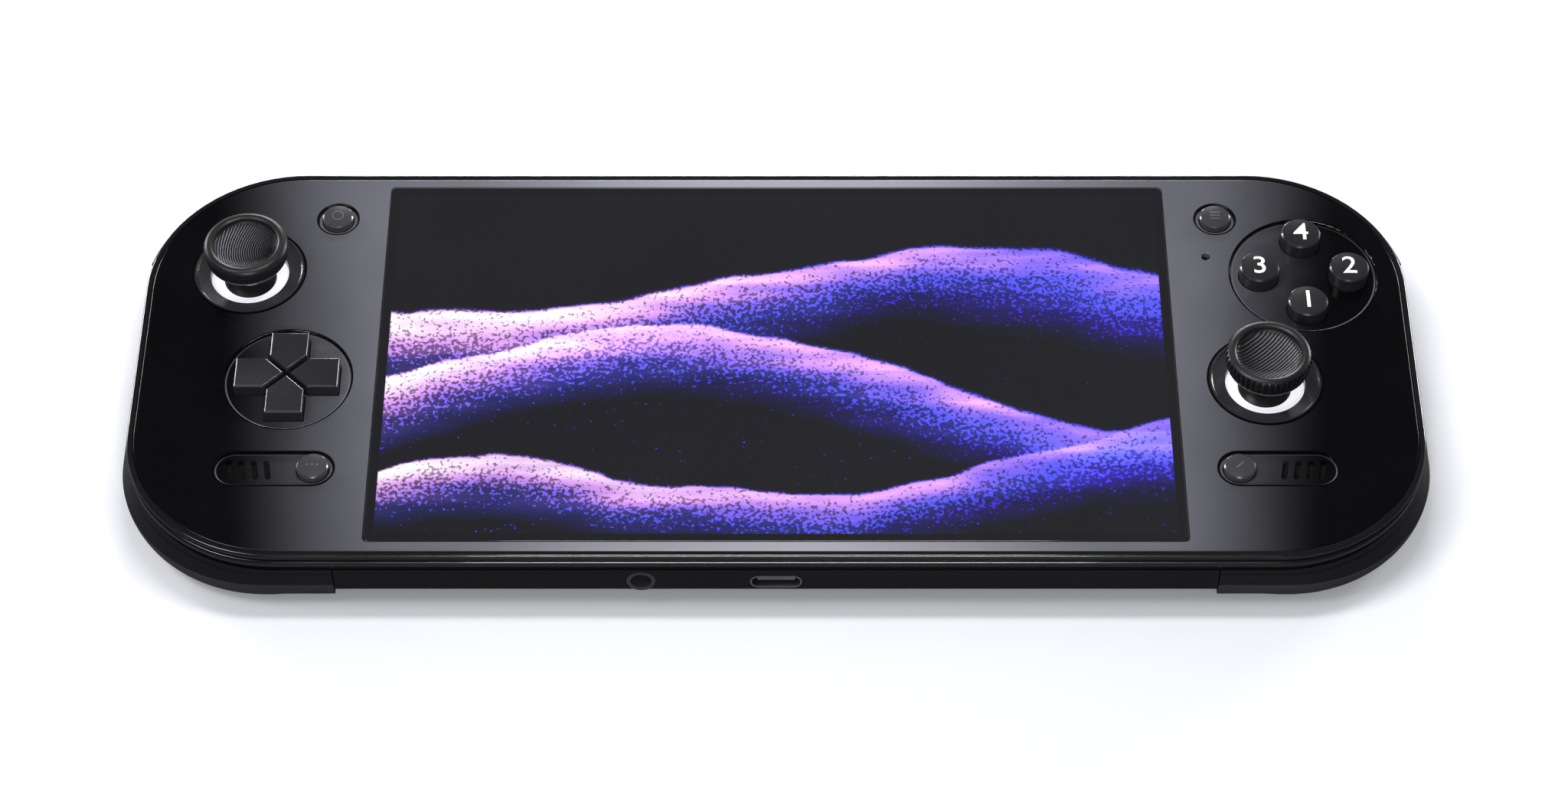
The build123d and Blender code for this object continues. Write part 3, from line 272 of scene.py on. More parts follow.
# name: first tone, second tone, tone scale, grain scale, grain depth, low and high roughness, constants
plainFinishes = {
    "shellMatte": (
        (0.0030, 0.0030, 0.0036), (0.0055, 0.0055, 0.0065), 30, 1500, 0.35, 0.38, 0.5,
        {"Specular_IOR_Level": 0.28},
    ),
    "frameGloss": (
        (0.0035, 0.0035, 0.0042), (0.006, 0.006, 0.007), 30, 1600, 0.004, 0.14, 0.2,
        {"Coat_Weight": 0.5},
    ),
    "shoulderGloss": (
        (0.003, 0.003, 0.0038), (0.006, 0.006, 0.007), 30, 900, 0.05, 0.2, 0.3,
        {"Coat_Weight": 0.3},
    ),
    "keySatin": (
        (0.011, 0.011, 0.013), (0.017, 0.017, 0.020), 60, 1100, 0.1, 0.24, 0.34,
        {"Coat_Weight": 0.2},
    ),
    "collarSatin": (
        (0.016, 0.016, 0.019), (0.024, 0.024, 0.028), 60, 1200, 0.08, 0.2, 0.3,
        {"Coat_Weight": 0.3},
    ),
    "innerPlastic": (
        (0.02, 0.02, 0.022), (0.035, 0.035, 0.038), 60, 900, 0.3, 0.5, 0.65,
        {},
    ),
    "batteryWrap": (
        (0.012, 0.013, 0.017), (0.02, 0.021, 0.026), 50, 300, 0.15, 0.3, 0.5,
        {},
    ),
    "greyRubber": (
        (0.10, 0.10, 0.11), (0.14, 0.14, 0.15), 90, 1200, 0.3, 0.6, 0.75,
        {},
    ),
    "satinAlloy": (
        (0.42, 0.42, 0.44), (0.55, 0.55, 0.57), 90, 800, 0.2, 0.3, 0.42,
        {"Metallic": 1.0},
    ),
    # white ink of the numerals, also the colour of the painted glint rings on the sticks
    "inkAndGlintWhite": (
        (0.78, 0.78, 0.78), (0.86, 0.86, 0.86), 300, 1500, 0.05, 0.3, 0.4,
        {},
    ),
    # lighter than the keys: a painted sheen on the small buttons
    "buttonSheen": (
        (0.030, 0.030, 0.034), (0.042, 0.042, 0.047), 60, 1100, 0.08, 0.2, 0.28,
        {"Coat_Weight": 0.3},
    ),
    "inkGrey": (
        (0.06, 0.06, 0.066), (0.085, 0.085, 0.09), 300, 1500, 0.05, 0.3, 0.4,
        {},
    ),
}
materials = {}
for finishName, (first, second, toneScale, scale, depth, low, high, constants) in plainFinishes.items():
    material, tree, shader = startMaterial(finishName, **constants)
    tree.links.new(toneFor(tree, first, second, toneScale), shader.inputs["Base Color"])
    grainFor(tree, shader, scale, depth, low, high)
    materials[finishName] = material
print("plain finishes made:", len(materials))


# Hand shells: a dark line where housing and grip meet
seamLook = {
    "level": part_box("left_grip")[1].z,
    "half": 0.22 * mm,
    # the line fades out between these shares of its half width
    "fade": (0.8, 1.3),
    "dark": (0.0005, 0.0005, 0.0006, 1),
    "toneScale": 30,
    "grain": (1500, 0.3),
    # first tone, second tone, low and high roughness
    "housingShell": ((0.0030, 0.0030, 0.0036), (0.0055, 0.0055, 0.0065), 0.3, 0.4),
    "gripShell": ((0.018, 0.018, 0.0205), (0.027, 0.027, 0.030), 0.4, 0.5),
}


def makeSeamGroup():
    number = "NodeSocketFloat"
    group, given, result = startGroup(
        "levelSeam", [("Level", number, 0.0), ("Half", number, 0.0003)], [("Line", number)]
    )
    height = addNode(group, "ShaderNodeSeparateXYZ", {0: objectPlace(group)}).outputs["Z"]
    away = mathNode(group, "ABSOLUTE", mathNode(group, "SUBTRACT", height, given["Level"]))
    share = mathNode(group, "DIVIDE", away, given["Half"])
    line = rangeNode(group, share, seamLook["fade"], (1.0, 0.0))
    group.links.new(line, result["Line"])
    return group


seamGroup = makeSeamGroup()
for shellName in ("housingShell", "gripShell"):
    first, second, low, high = seamLook[shellName]
    material, tree, shader = startMaterial(shellName, Specular_IOR_Level=0.34)
    seam = addNode(tree, "ShaderNodeGroup", node_tree=seamGroup)
    seam.inputs["Level"].default_value = seamLook["level"]
    seam.inputs["Half"].default_value = seamLook["half"]
    tones = toneFor(tree, first, second, seamLook["toneScale"])
    colour = blendNode(tree, seam.outputs["Line"], tones, seamLook["dark"])
    tree.links.new(colour, shader.inputs["Base Color"])
    grainFor(tree, shader, *seamLook["grain"], low, high)
    materials[shellName] = material


# A painted shade line, and a painted highlight inside it, round an oval that runs along X
grooveLook = {
    # in shares of the radius: the painted highlight fades between these from front to back
    "facing": (-0.9, 0.8),
    "backShare": 0.12,
    # in shares of the groove's width
    "shadeHalf": 0.4,
    "highlightHalf": 0.18,
    "fade": 0.3,
}


def makeGrooveGroup():
    number, vector = "NodeSocketFloat", "NodeSocketVector"
    group, given, result = startGroup(
        "ovalGrooveShadeAndHighlight",
        [("Centre", vector, (0, 0, 0)), ("HalfRun", number, 0.0),
         ("Radius", number, 0.01), ("Width", number, 0.0003)],
        [("PaintedShade", number), ("Bright", number)],
    )
    offset = addNode(
        group, "ShaderNodeVectorMath", {0: objectPlace(group), 1: given["Centre"]}, operation="SUBTRACT"
    ).outputs[0]
    parts = addNode(group, "ShaderNodeSeparateXYZ", {0: offset})
    along = mathNode(group, "SUBTRACT", mathNode(group, "ABSOLUTE", parts.outputs["X"]), given["HalfRun"])
    along = mathNode(group, "MAXIMUM", along, 0.0)
    flat = addNode(group, "ShaderNodeCombineXYZ", {0: along, 1: parts.outputs["Y"]}).outputs[0]
    reach = addNode(group, "ShaderNodeVectorMath", {0: flat}, operation="LENGTH").outputs["Value"]
    past = mathNode(group, "SUBTRACT", reach, given["Radius"])
    gap = mathNode(group, "DIVIDE", past, given["Width"])
    facing = mathNode(group, "DIVIDE", parts.outputs["Y"], given["Radius"])
    front = rangeNode(group, facing, grooveLook["facing"], (1.0, grooveLook["backShare"]))
    # the painted highlight lies one width inside the painted shade line
    lines = (("PaintedShade", 0.0, grooveLook["shadeHalf"], 1.0), ("Bright", 1.0, grooveLook["highlightHalf"], front))
    for name, shift, half, share in lines:
        away = mathNode(group, "ABSOLUTE", mathNode(group, "ADD", gap, shift))
        line = rangeNode(group, away, (half, half + grooveLook["fade"]), (1.0, 0.0))
        group.links.new(mathNode(group, "MULTIPLY", line, share), result[name])
    return group


# Front cover: satin black with a painted sheen; painted reflection makes it greyer beside the screen than at
# the ends
coverLook = {
    "centreEnd": 5 * mm,
    "greyEnd": 66 * mm,
    "blackEnd": 98 * mm,
    # painted reflection: the pale centre tone and the grey; the black is the cover's own colour
    "centre": (0.24, 0.24, 0.27),
    "sheenGrey": (0.092, 0.092, 0.107),
    "black": (0.0012, 0.0012, 0.0016),
    # how far the painted sheen's fade leans outwards towards the back
    "slant": -0.12,
    # each tone's paler end, as a multiple of the tone
    "centreDrift": 1.15,
    "endsDrift": 1.2,
    "toneScale": 40,
    "grain": (1600, 0.05, 0.17, 0.22),
    "grooveWidth": 0.4 * mm,
    # colours of the painted highlight and the painted shade round each recess
    "groovePaintedHighlight": (0.15, 0.15, 0.17, 1),
    "groovePaintedShade": (0.0005, 0.0005, 0.0006, 1),
    # centre, half of the straight run, radius
    "grooves": (
        ((-85.5, -4.8), 0, 11.25), ((94.25, 19.4), 0, 13.15),
        ((-86.4, -24.8), 6.7, 3.7), ((86.4, -24.8), 6.7, 3.7),
        ((-79.3, 32.8), 0, 3.65), ((79.3, 32.8), 0, 3.65),
        ((-94.3, 20.4), 0, 10.05), ((85.6, -5.0), 0, 10.05),
    ),
}
grooveGroup = makeGrooveGroup()


def makeCoverMaterial():
    look = coverLook
    material, tree, shader = startMaterial(
        "coverSatinPaintedSheen", Specular_IOR_Level=0.24, Coat_Weight=0.1, Coat_Roughness=0.12
    )
    parts = addNode(tree, "ShaderNodeSeparateXYZ", {0: objectPlace(tree)})
    away = mathNode(tree, "ABSOLUTE", parts.outputs["X"])
    away = mathNode(tree, "MULTIPLY_ADD", parts.outputs["Y"], look["slant"], away)
    paler = [look["centreDrift"] * c for c in look["centre"]]
    colour = toneFor(tree, look["centre"], paler, look["toneScale"])
    # painted sheen: pale in the middle, grey beside the screen, black at the ends
    ends = (look["centreEnd"], look["greyEnd"], look["blackEnd"])
    for start, end, tone in ((ends[0], ends[1], look["sheenGrey"]), (ends[1], ends[2], look["black"])):
        share = rangeNode(tree, away, (start, end), interpolation_type="SMOOTHSTEP")
        drifting = toneFor(tree, tone, [look["endsDrift"] * c for c in tone], look["toneScale"])
        colour = blendNode(tree, share, colour, drifting)
    # a painted shade line and a painted highlight round each recess
    for centre, halfRun, radius in look["grooves"]:
        groove = addNode(tree, "ShaderNodeGroup", node_tree=grooveGroup)
        groove.inputs["Centre"].default_value = (centre[0] * mm, centre[1] * mm, 0)
        groove.inputs["HalfRun"].default_value = halfRun * mm
        groove.inputs["Radius"].default_value = radius * mm
        groove.inputs["Width"].default_value = look["grooveWidth"]
        for output, tone in (("Bright", look["groovePaintedHighlight"]), ("PaintedShade", look["groovePaintedShade"])):
            colour = blendNode(tree, groove.outputs[output], colour, tone)
    tree.links.new(colour, shader.inputs["Base Color"])
    grainFor(tree, shader, *look["grain"])
    return material


materials["coverSatinPaintedSheen"] = makeCoverMaterial()


# Screen: black glass with a lit picture of wavy ribbons
screenLook = {
    "halfLength": 68.4 * mm,
    "halfWidth": 38.9 * mm,
    "edge": 0.12 * mm,
    "rest": (0.0105, 0.0105, 0.0125, 1),
    "border": (0.0085, 0.0085, 0.010, 1),
    # tones and their scale
    "glass": ((0.004, 0.004, 0.005), (0.006, 0.006, 0.007), 20),
    # noise scale and detail
    "warp": (28.0, 3.0),
    "grains": (1500.0, 2.0),
    "streaks": (1.0, 4.0),
    "streakStretch": (30.0, 260.0, 1.0),
    "warpReach": 0.012,
    # in shares of a ribbon's thickness below its crest
    "rise": (-0.04, 0.05),
    "fall": (0.1, 1.0),
    "grainFade": 0.05,
    "grainShare": 0.85,
    # factor and offset
    "threshold": (-0.38, 0.72),
    "haze": (1.1, -0.12),
    "bodyShade": (0.62, -0.06),
    "streakShade": 0.35,
    # shade per metre towards the right
    "drift": -2.6,
    # level, swing, radians per metre, phase, slope, thickness, brightness
    "ribbons": (
        (0.019, 0.007, 42.0, 0.4, 0.03, 0.020, 1.0),
        (-0.003, 0.009, 38.0, 2.1, -0.05, 0.017, 1.0),
        (-0.024, 0.006, 46.0, 4.4, 0.08, 0.014, 0.9),
    ),
    "colours": (
        (0.0, (0.02, 0.012, 0.34)),
        (0.22, (0.05, 0.02, 0.80)),
        (0.42, (0.09, 0.10, 1.0)),
        (0.55, (0.24, 0.14, 0.95)),
        (0.70, (0.72, 0.34, 0.90)),
        (0.86, (0.95, 0.75, 0.92)),
        (1.0, (1.0, 0.97, 1.0)),
    ),
}


def makeScreenMaterial():
    material, tree, shader = startMaterial(
        "litScreen", Roughness=0.08, Coat_Weight=0.6, Coat_Roughness=0.03, Emission_Strength=1.0
    )
    look = screenLook
    place = objectPlace(tree)
    parts = addNode(tree, "ShaderNodeSeparateXYZ", {0: place})
    alongX, alongY = parts.outputs["X"], parts.outputs["Y"]
    warp = noiseNode(tree, place, *look["warp"])
    warped = mathNode(tree, "MULTIPLY_ADD", warp, look["warpReach"], -look["warpReach"] / 2)
    fine = noiseNode(tree, place, *look["grains"])
    stretched = addNode(tree, "ShaderNodeMapping", {"Vector": place, "Scale": look["streakStretch"]})
    streaks = noiseNode(tree, stretched.outputs[0], *look["streaks"])
    total = None
    for level, swing, waves, phase, slope, thickness, brightness in look["ribbons"]:
        wave = mathNode(tree, "SINE", mathNode(tree, "MULTIPLY_ADD", alongX, waves, phase))
        crest = mathNode(tree, "MULTIPLY_ADD", wave, swing, level)
        crest = mathNode(tree, "MULTIPLY_ADD", alongX, slope, crest)
        height = mathNode(tree, "SUBTRACT", mathNode(tree, "ADD", alongY, warped), crest)
        depth = mathNode(tree, "DIVIDE", height, -thickness)
        rise = rangeNode(tree, depth, look["rise"], interpolation_type="SMOOTHSTEP")
        body = mathNode(tree, "MULTIPLY", rise, rangeNode(tree, depth, look["fall"], (1.0, 0.0)))
        # grains thin out away from the crest
        threshold = mathNode(tree, "MULTIPLY_ADD", body, *look["threshold"])
        grains = rangeNode(tree, mathNode(tree, "SUBTRACT", fine, threshold), (0.0, look["grainFade"]))
        haze = mathNode(tree, "MULTIPLY", body, mathNode(tree, "MULTIPLY_ADD", streaks, *look["haze"]))
        # each ribbon drifts from white on the left to blue on the right
        shade = mathNode(tree, "MULTIPLY_ADD", body, *look["bodyShade"])
        shade = mathNode(tree, "MULTIPLY_ADD", streaks, look["streakShade"], shade)
        shade = mathNode(tree, "MULTIPLY_ADD", alongX, look["drift"], shade)
        ramp = addNode(tree, "ShaderNodeValToRGB", {0: shade})
        stops = ramp.color_ramp.elements
        for index, (at, colour) in enumerate(look["colours"]):
            stop = stops[index] if index < 2 else stops.new(at)
            stop.position = at
            stop.color = (*colour, 1)
        amount = mathNode(tree, "ADD", mathNode(tree, "MULTIPLY", grains, look["grainShare"]), haze)
        amount = mathNode(tree, "MULTIPLY", mathNode(tree, "MULTIPLY", amount, rise), brightness)
        lit = blendNode(tree, 1.0, ramp.outputs[0], amount, blend_type="MULTIPLY")
        total = lit if total is None else blendNode(tree, 1.0, total, lit, blend_type="ADD")
    total = blendNode(tree, 1.0, total, look["rest"], blend_type="ADD")
    inside = None
    for value, half in ((alongX, look["halfLength"]), (alongY, look["halfWidth"])):
        distance = mathNode(tree, "ABSOLUTE", value)
        within = rangeNode(tree, distance, (half - look["edge"], half), (1.0, 0.0))
        inside = within if inside is None else mathNode(tree, "MULTIPLY", inside, within)
    picture = blendNode(tree, inside, look["border"], total)
    tree.links.new(picture, shader.inputs["Emission Color"])
    tree.links.new(toneFor(tree, *look["glass"]), shader.inputs["Base Color"])
    return material


materials["litScreen"] = makeScreenMaterial()


# Metals, boards and light
steelLook = {
    "stretch": (60.0, 2200.0, 2200.0),
    # noise scale and detail
    "lines": (1.0, 3.0),
    "roughness": (0.22, 0.48),
    "strength": 0.2,
    "height": 0.05 * mm,
    "tones": ((0.36, 0.36, 0.38), (0.5, 0.5, 0.52), 120),
}


def makeBrushedSteel():
    material, tree, shader = startMaterial("brushedSteel", Metallic=1.0)
    stretched = addNode(
        tree, "ShaderNodeMapping", {"Vector": objectPlace(tree), "Scale": steelLook["stretch"]}
    ).outputs[0]
    lines = noiseNode(tree, stretched, *steelLook["lines"])
    rough = rangeNode(tree, lines, (0.0, 1.0), steelLook["roughness"])
    bump = addNode(
        tree, "ShaderNodeBump",
        {"Height": lines, "Strength": steelLook["strength"], "Distance": steelLook["height"]},
    )
    tree.links.new(rough, shader.inputs["Roughness"])
    tree.links.new(bump.outputs[0], shader.inputs["Normal"])
    tree.links.new(toneFor(tree, *steelLook["tones"]), shader.inputs["Base Color"])
    return material


boardLook = {
    "scale": 260.0,
    "trackWidth": 0.04,
    "greens": ((0.006, 0.05, 0.03, 1), (0.008, 0.07, 0.04, 1)),
    "track": (0.05, 0.16, 0.08, 1),
    "grain": (700, 0.1, 0.3, 0.4),
}


def makeBoardMaterial():
    material, tree, shader = startMaterial("printedBoard", Coat_Weight=0.3)
    cells = addNode(
        tree, "ShaderNodeTexBrick",
        {"Vector": objectPlace(tree), "Scale": boardLook["scale"], "Mortar Size": boardLook["trackWidth"],
         "Color1": boardLook["greens"][0], "Color2": boardLook["greens"][1], "Mortar": boardLook["track"]},
    )
    tree.links.new(cells.outputs[0], shader.inputs["Base Color"])
    grainFor(tree, shader, *boardLook["grain"])
    return material


# Woven speaker mesh: a grid of holes in nearly black wire, the holes drawn black as painted shade
meshLook = {
    "scale": 2600.0,
    "holeEdge": (0.28, 0.4),
    "hole": (0.002, 0.002, 0.002, 1),
    "wire": (0.007, 0.007, 0.008, 1),
    "strength": 0.6,
    "height": 0.1 * mm,
}


def makeMeshMaterial():
    material, tree, shader = startMaterial("speakerMesh", Metallic=0.6)
    holes = addNode(
        tree, "ShaderNodeTexVoronoi",
        {"Vector": objectPlace(tree), "Scale": meshLook["scale"], "Randomness": 0.0},
    ).outputs[0]
    wire = rangeNode(tree, holes, meshLook["holeEdge"])
    bump = addNode(
        tree, "ShaderNodeBump",
        {"Height": wire, "Strength": meshLook["strength"], "Distance": meshLook["height"]},
    )
    tree.links.new(blendNode(tree, wire, meshLook["hole"], meshLook["wire"]), shader.inputs["Base Color"])
    tree.links.new(bump.outputs[0], shader.inputs["Normal"])
    return material


lightLook = {
    "tones": ((0.88, 0.92, 1.0), (0.97, 0.98, 1.0), 200),
    "grain": (1200, 0.05, 0.35, 0.45),
}


def makeLightGuide():
    material, tree, shader = startMaterial(
        "lightGuide", Emission_Strength=0.72, Base_Color=(0.4, 0.4, 0.4, 1)
    )
    tree.links.new(toneFor(tree, *lightLook["tones"]), shader.inputs["Emission Color"])
    grainFor(tree, shader, *lightLook["grain"])
    return material


copperLook = {
    "tones": ((0.52, 0.22, 0.12), (0.62, 0.30, 0.18), 90),
    "grain": (600, 0.15, 0.28, 0.42),
}


def makeCopper():
    material, tree, shader = startMaterial("copperSink", Metallic=1.0)
    tree.links.new(toneFor(tree, *copperLook["tones"]), shader.inputs["Base Color"])
    grainFor(tree, shader, *copperLook["grain"])
    return material


# Stick rubber whose bowl carries raised lines with a painted highlight; heights are above the stick's pivot
bowlLook = {
    "distortion": 1.6,
    "detail": 2.0,
    "detailScale": 0.6,
    # the lines end between these radii and start between these heights
    "reach": (5.0 * mm, 5.6 * mm),
    "above": (12.3 * mm, 12.6 * mm),
    "height": 0.3 * mm,
    # pale colour of the raised lines: a painted highlight
    "line": (0.34, 0.34, 0.38, 1),
    "tones": ((0.006, 0.006, 0.007), (0.010, 0.010, 0.0115), 120),
    "grain": (1500, 0.15, 0.34, 0.44),
}


def makeBowlRubber(name, centre, shift, waveKind, waveScale, turn, litEnd):
    look = bowlLook
    material, tree, shader = startMaterial(name, Specular_IOR_Level=0.34)
    shifted = addNode(
        tree, "ShaderNodeMapping",
        {"Vector": objectPlace(tree), "Location": [-value for value in centre]}, vector_type="POINT",
    ).outputs[0]
    turned = addNode(
        tree, "ShaderNodeMapping", {"Vector": shifted, "Location": shift, "Rotation": (0, 0, turn)}
    ).outputs[0]
    wave = addNode(
        tree, "ShaderNodeTexWave",
        {"Vector": turned, "Scale": waveScale, "Distortion": look["distortion"],
         "Detail": look["detail"], "Detail Scale": look["detailScale"]},
        wave_type=waveKind, rings_direction="Z",
    ).outputs[1]
    flat = addNode(tree, "ShaderNodeVectorMath", {0: shifted, 1: (1, 1, 0)}, operation="MULTIPLY").outputs[0]
    reach = addNode(tree, "ShaderNodeVectorMath", {0: flat}, operation="LENGTH").outputs["Value"]
    parts = addNode(tree, "ShaderNodeSeparateXYZ", {0: shifted})
    inBowl = rangeNode(tree, reach, look["reach"], (1.0, 0.0))
    inBowl = mathNode(tree, "MULTIPLY", inBowl, rangeNode(tree, parts.outputs["Z"], look["above"]))
    height = mathNode(tree, "MULTIPLY", wave, inBowl)
    grain = grainFor(tree, shader, *look["grain"])
    bump = addNode(
        tree, "ShaderNodeBump",
        {"Height": height, "Strength": 1.0, "Distance": look["height"], "Normal": grain.outputs["Normal"]},
    )
    tree.links.new(bump.outputs[0], shader.inputs["Normal"])
    # painted highlight: the raised lines are drawn paler, more so towards one end
    lit = rangeNode(tree, parts.outputs["X"], (-litEnd, litEnd))
    share = mathNode(tree, "MULTIPLY", mathNode(tree, "POWER", height, 2.0), lit)
    rubber = toneFor(tree, *look["tones"])
    tree.links.new(blendNode(tree, share, rubber, look["line"]), shader.inputs["Base Color"])
    return material


materials["brushedSteel"] = makeBrushedSteel()
materials["printedBoard"] = makeBoardMaterial()
materials["speakerMesh"] = makeMeshMaterial()
materials["lightGuide"] = makeLightGuide()
materials["copperSink"] = makeCopper()
print("special finishes made")


# Finish of each record slot, and the nodes that differ from their slot
slotFinish = {
    "cover_plastic": "coverSatinPaintedSheen", "frame_plastic": "frameGloss", "shell_plastic": "shellMatte",
    "screen": "litScreen", "key_plastic": "keySatin", "shoulder_plastic": "shoulderGloss",
    "stick_rubber": "innerPlastic", "collar_plastic": "collarSatin", "light_guide": "lightGuide",
    "board": "printedBoard", "steel": "brushedSteel", "alloy": "satinAlloy",
    "inner_plastic": "innerPlastic", "wrap": "batteryWrap", "membrane_rubber": "greyRubber",
}
nodeFinish = {
    "heat_sink": "copperSink", "speaker_meshes": "speakerMesh",
    "left_grip": "gripShell", "right_grip": "gripShell",
    "left_side_housing": "housingShell", "right_side_housing": "housingShell",
    "left_upper_button": "buttonSheen", "left_lower_button": "buttonSheen",
    "right_upper_button": "buttonSheen", "right_lower_button": "buttonSheen",
}
for node, slotName in nodeSlots.items():
    nodeObject = frame["nodes"][node]
    finish = materials[nodeFinish.get(node, slotFinish[slotName])]
    nodeObject.data.materials.clear()
    nodeObject.data.materials.append(finish)
print("finishes on", len(nodeSlots), "nodes")


# Thumb caps, spun round each stick's own axis; in millimetres, heights above the stick's pivot
capShape = {
    "pivotHeight": 7.0 * mm,
    "steps": 264,
    "domeRadius": 7.3,
    "domeInner": 6.5,
    "domeEdge": 52.0,
    "neckAngle": 17.5,
    "boreRadius": 1.05,
    "boreTop": 11.65,
    "funnel": (
        (2.2, 7.1), (2.25, 7.6), (2.6, 7.87), (3.2, 8.17),
        (3.75, 8.6), (3.9, 9.4), (4.2, 9.88), (4.75, 10.35),
    ),
    "waist": ((4.9, 10.45), (4.93, 10.6), (4.93, 10.85)),
    "cupFoot": (5.05, 10.95),
    "cupHead": (7.28, 13.05),
    "rimCentre": (6.42, 14.55),
    "rimRadii": (1.08, 1.15),
    "cupEnd": -6,
    "rimStart": -35,
    "rimEnd": 128,
    "bowlStart": -3,
    "bowlFoot": 12.9,
    "segments": {"inner": 10, "dome": 16, "cup": 18, "rim": 26, "bowl": 24},
    # ribs and teeth lie outside these radii
    "ribsFrom": 5.0,
    "teethFrom": 6.9,
    "teeth": 44,
    "toothSteepness": 1.4,
    "left": {
        "ribs": 132, "ribDepth": 0.08, "ribBand": (10.9, 12.9),
        "teethBand": (0, 0), "toothDepth": 0,
    },
    "right": {
        "ribs": 88, "ribDepth": 0.12, "ribBand": (10.9, 12.4),
        "teethBand": (12.4, 15.3), "toothDepth": 0.42,
    },
}


def arcPoints(centre, radii, startAngle, endAngle, count):
    turns = [math.radians(startAngle + (endAngle - startAngle) * i / count) for i in range(count + 1)]
    return [(centre[0] + radii[0] * math.cos(t), centre[1] + radii[1] * math.sin(t)) for t in turns]


def capOutline():
    shape = capShape
    dome = shape["domeRadius"]
    inner = shape["domeInner"]
    boreAngle = math.degrees(math.asin(shape["boreRadius"] / inner))
    counts = shape["segments"]
    domeEnd, neckEnd = 90 - shape["domeEdge"], 90 - shape["neckAngle"]
    points = arcPoints((0, 0), (inner, inner), 90 - boreAngle, domeEnd, counts["inner"])
    points += arcPoints((0, 0), (dome, dome), domeEnd, neckEnd, counts["dome"])
    points += list(shape["funnel"]) + list(shape["waist"])
    foot, head = shape["cupFoot"], shape["cupHead"]
    cupRadii = (head[0] - foot[0], head[1] - foot[1])
    points += arcPoints((foot[0], head[1]), cupRadii, -90, shape["cupEnd"], counts["cup"])
    rimTurn = (shape["rimStart"], shape["rimEnd"])
    points += arcPoints(shape["rimCentre"], shape["rimRadii"], *rimTurn, counts["rim"])
    bowlReach, bowlTop = points[-1]
    bowlRadii = (bowlReach, bowlTop - shape["bowlFoot"])
    points += arcPoints((0, bowlTop), bowlRadii, shape["bowlStart"], -90, counts["bowl"])
    points += [(0, shape["boreTop"]), (shape["boreRadius"], shape["boreTop"])]
    return points


# A closed outline in millimetres, spun once round Z
weldGap = 0.002 * mm


def spinOutline(points, steps):
    work = bmesh.new()
    verts = [work.verts.new((r * mm, 0, z * mm)) for r, z in points]
    edges = [work.edges.new((vert, verts[(i + 1) % len(verts)])) for i, vert in enumerate(verts)]
    bmesh.ops.spin(
        work, geom=verts + edges, cent=(0, 0, 0), axis=(0, 0, 1), dvec=(0, 0, 0),
        angle=2 * math.pi, steps=steps, use_merge=True, use_duplicate=False,
    )
    bmesh.ops.remove_doubles(work, verts=work.verts, dist=weldGap)
    bmesh.ops.recalc_face_normals(work, faces=work.faces)
    return work


def finishPiece(work, name, material, body, replaced=(), sharp=35):
    mesh = bpy.data.meshes.new(name)
    work.to_mesh(mesh)
    work.free()
    mesh.polygons.foreach_set("use_smooth", [True] * len(mesh.polygons))
    mesh.set_sharp_from_angle(angle=math.radians(sharp))
    mesh.materials.append(material)
    piece = bpy.data.objects.new(name, mesh)
    bpy.context.collection.objects.link(piece)
    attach(piece, body)
    if replaced:
        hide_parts(*replaced)
    return piece


# Presses the gaps between the cup's ribs and the rim's teeth into the spun surface
def ribbed(work, look):
    for vert in work.verts:
        radius = math.hypot(vert.co.x, vert.co.y) / mm
        height = vert.co.z / mm
        turn = math.atan2(vert.co.y, vert.co.x)
        push = 0.0
        if radius > capShape["ribsFrom"] and look["ribBand"][0] < height < look["ribBand"][1]:
            push -= look["ribDepth"] * (0.5 - 0.5 * math.cos(look["ribs"] * turn))
        if radius > capShape["teethFrom"] and look["teethBand"][0] < height < look["teethBand"][1]:
            tooth = math.cos(capShape["teeth"] * turn)
            rise = 0.5 + capShape["toothSteepness"] * tooth
            push -= look["toothDepth"] * max(0.0, min(1.0, rise))
        if push:
            share = 1 + push / radius
            vert.co.x *= share
            vert.co.y *= share


def stickCentre(sideName):
    low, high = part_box(sideName + "_stick_cap")
    return Vector(((low.x + high.x) / 2, (low.y + high.y) / 2, capShape["pivotHeight"]))


# wave kind, wave scale, turn, shift, and the end at which the painted highlight on the lines is strongest
capBowls = {
    "left": ("RINGS", 780.0, 0.6, (-4.5 * mm, -3.5 * mm, 0), -4.5 * mm),
    "right": ("BANDS", 560.0, 0.85, (0, 0, 0), 6.0 * mm),
}
# a thin white ring round each stick: a painted glint
glintRing = {"inner": 3.6, "outer": 3.95, "low": 8.5, "high": 8.85, "steps": 96}
for sideName in ("left", "right"):
    body = sideName + "_stick"
    centre = stickCentre(sideName)
    kind, waveScale, turn, shift, litEnd = capBowls[sideName]
    rubber = makeBowlRubber(sideName + "CapRubberPaintedHighlight", centre, Vector(shift), kind, waveScale, turn, litEnd)
    work = spinOutline(capOutline(), capShape["steps"])
    ribbed(work, capShape[sideName])
    bmesh.ops.translate(work, verts=work.verts, vec=centre)
    finishPiece(work, sideName + "Cap", rubber, body, [sideName + "_stick_cap"])
    glintBand = [
        (glintRing["inner"], glintRing["low"]), (glintRing["outer"], glintRing["low"]),
        (glintRing["outer"], glintRing["high"]), (glintRing["inner"], glintRing["high"]),
    ]
    work = spinOutline(glintBand, glintRing["steps"])
    bmesh.ops.translate(work, verts=work.verts, vec=centre)
    finishPiece(work, sideName + "CapGlint", materials["inkAndGlintWhite"], body)
print("stick caps made")


# Marks printed on the buttons, laid on each button's own crown
printing = {
    "lift": 0.03 * mm,
    "sink": 0.05 * mm,
    "rayHeight": 30 * mm,
    "cuts": 2,
    "weld": 0.001 * mm,
}
numerals = {
    "size": 5.6 * mm,
    "bold": 0.03 * mm,
    "marks": {
        "action_button_north": "4", "action_button_east": "2",
        "action_button_south": "1", "action_button_west": "3",
    },
}


def surfaceOf(node):
    mesh = frame["nodes"][node].data
    corners = [vert.co for vert in mesh.vertices]
    return BVHTree.FromPolygons(corners, [tuple(face.vertices) for face in mesh.polygons])


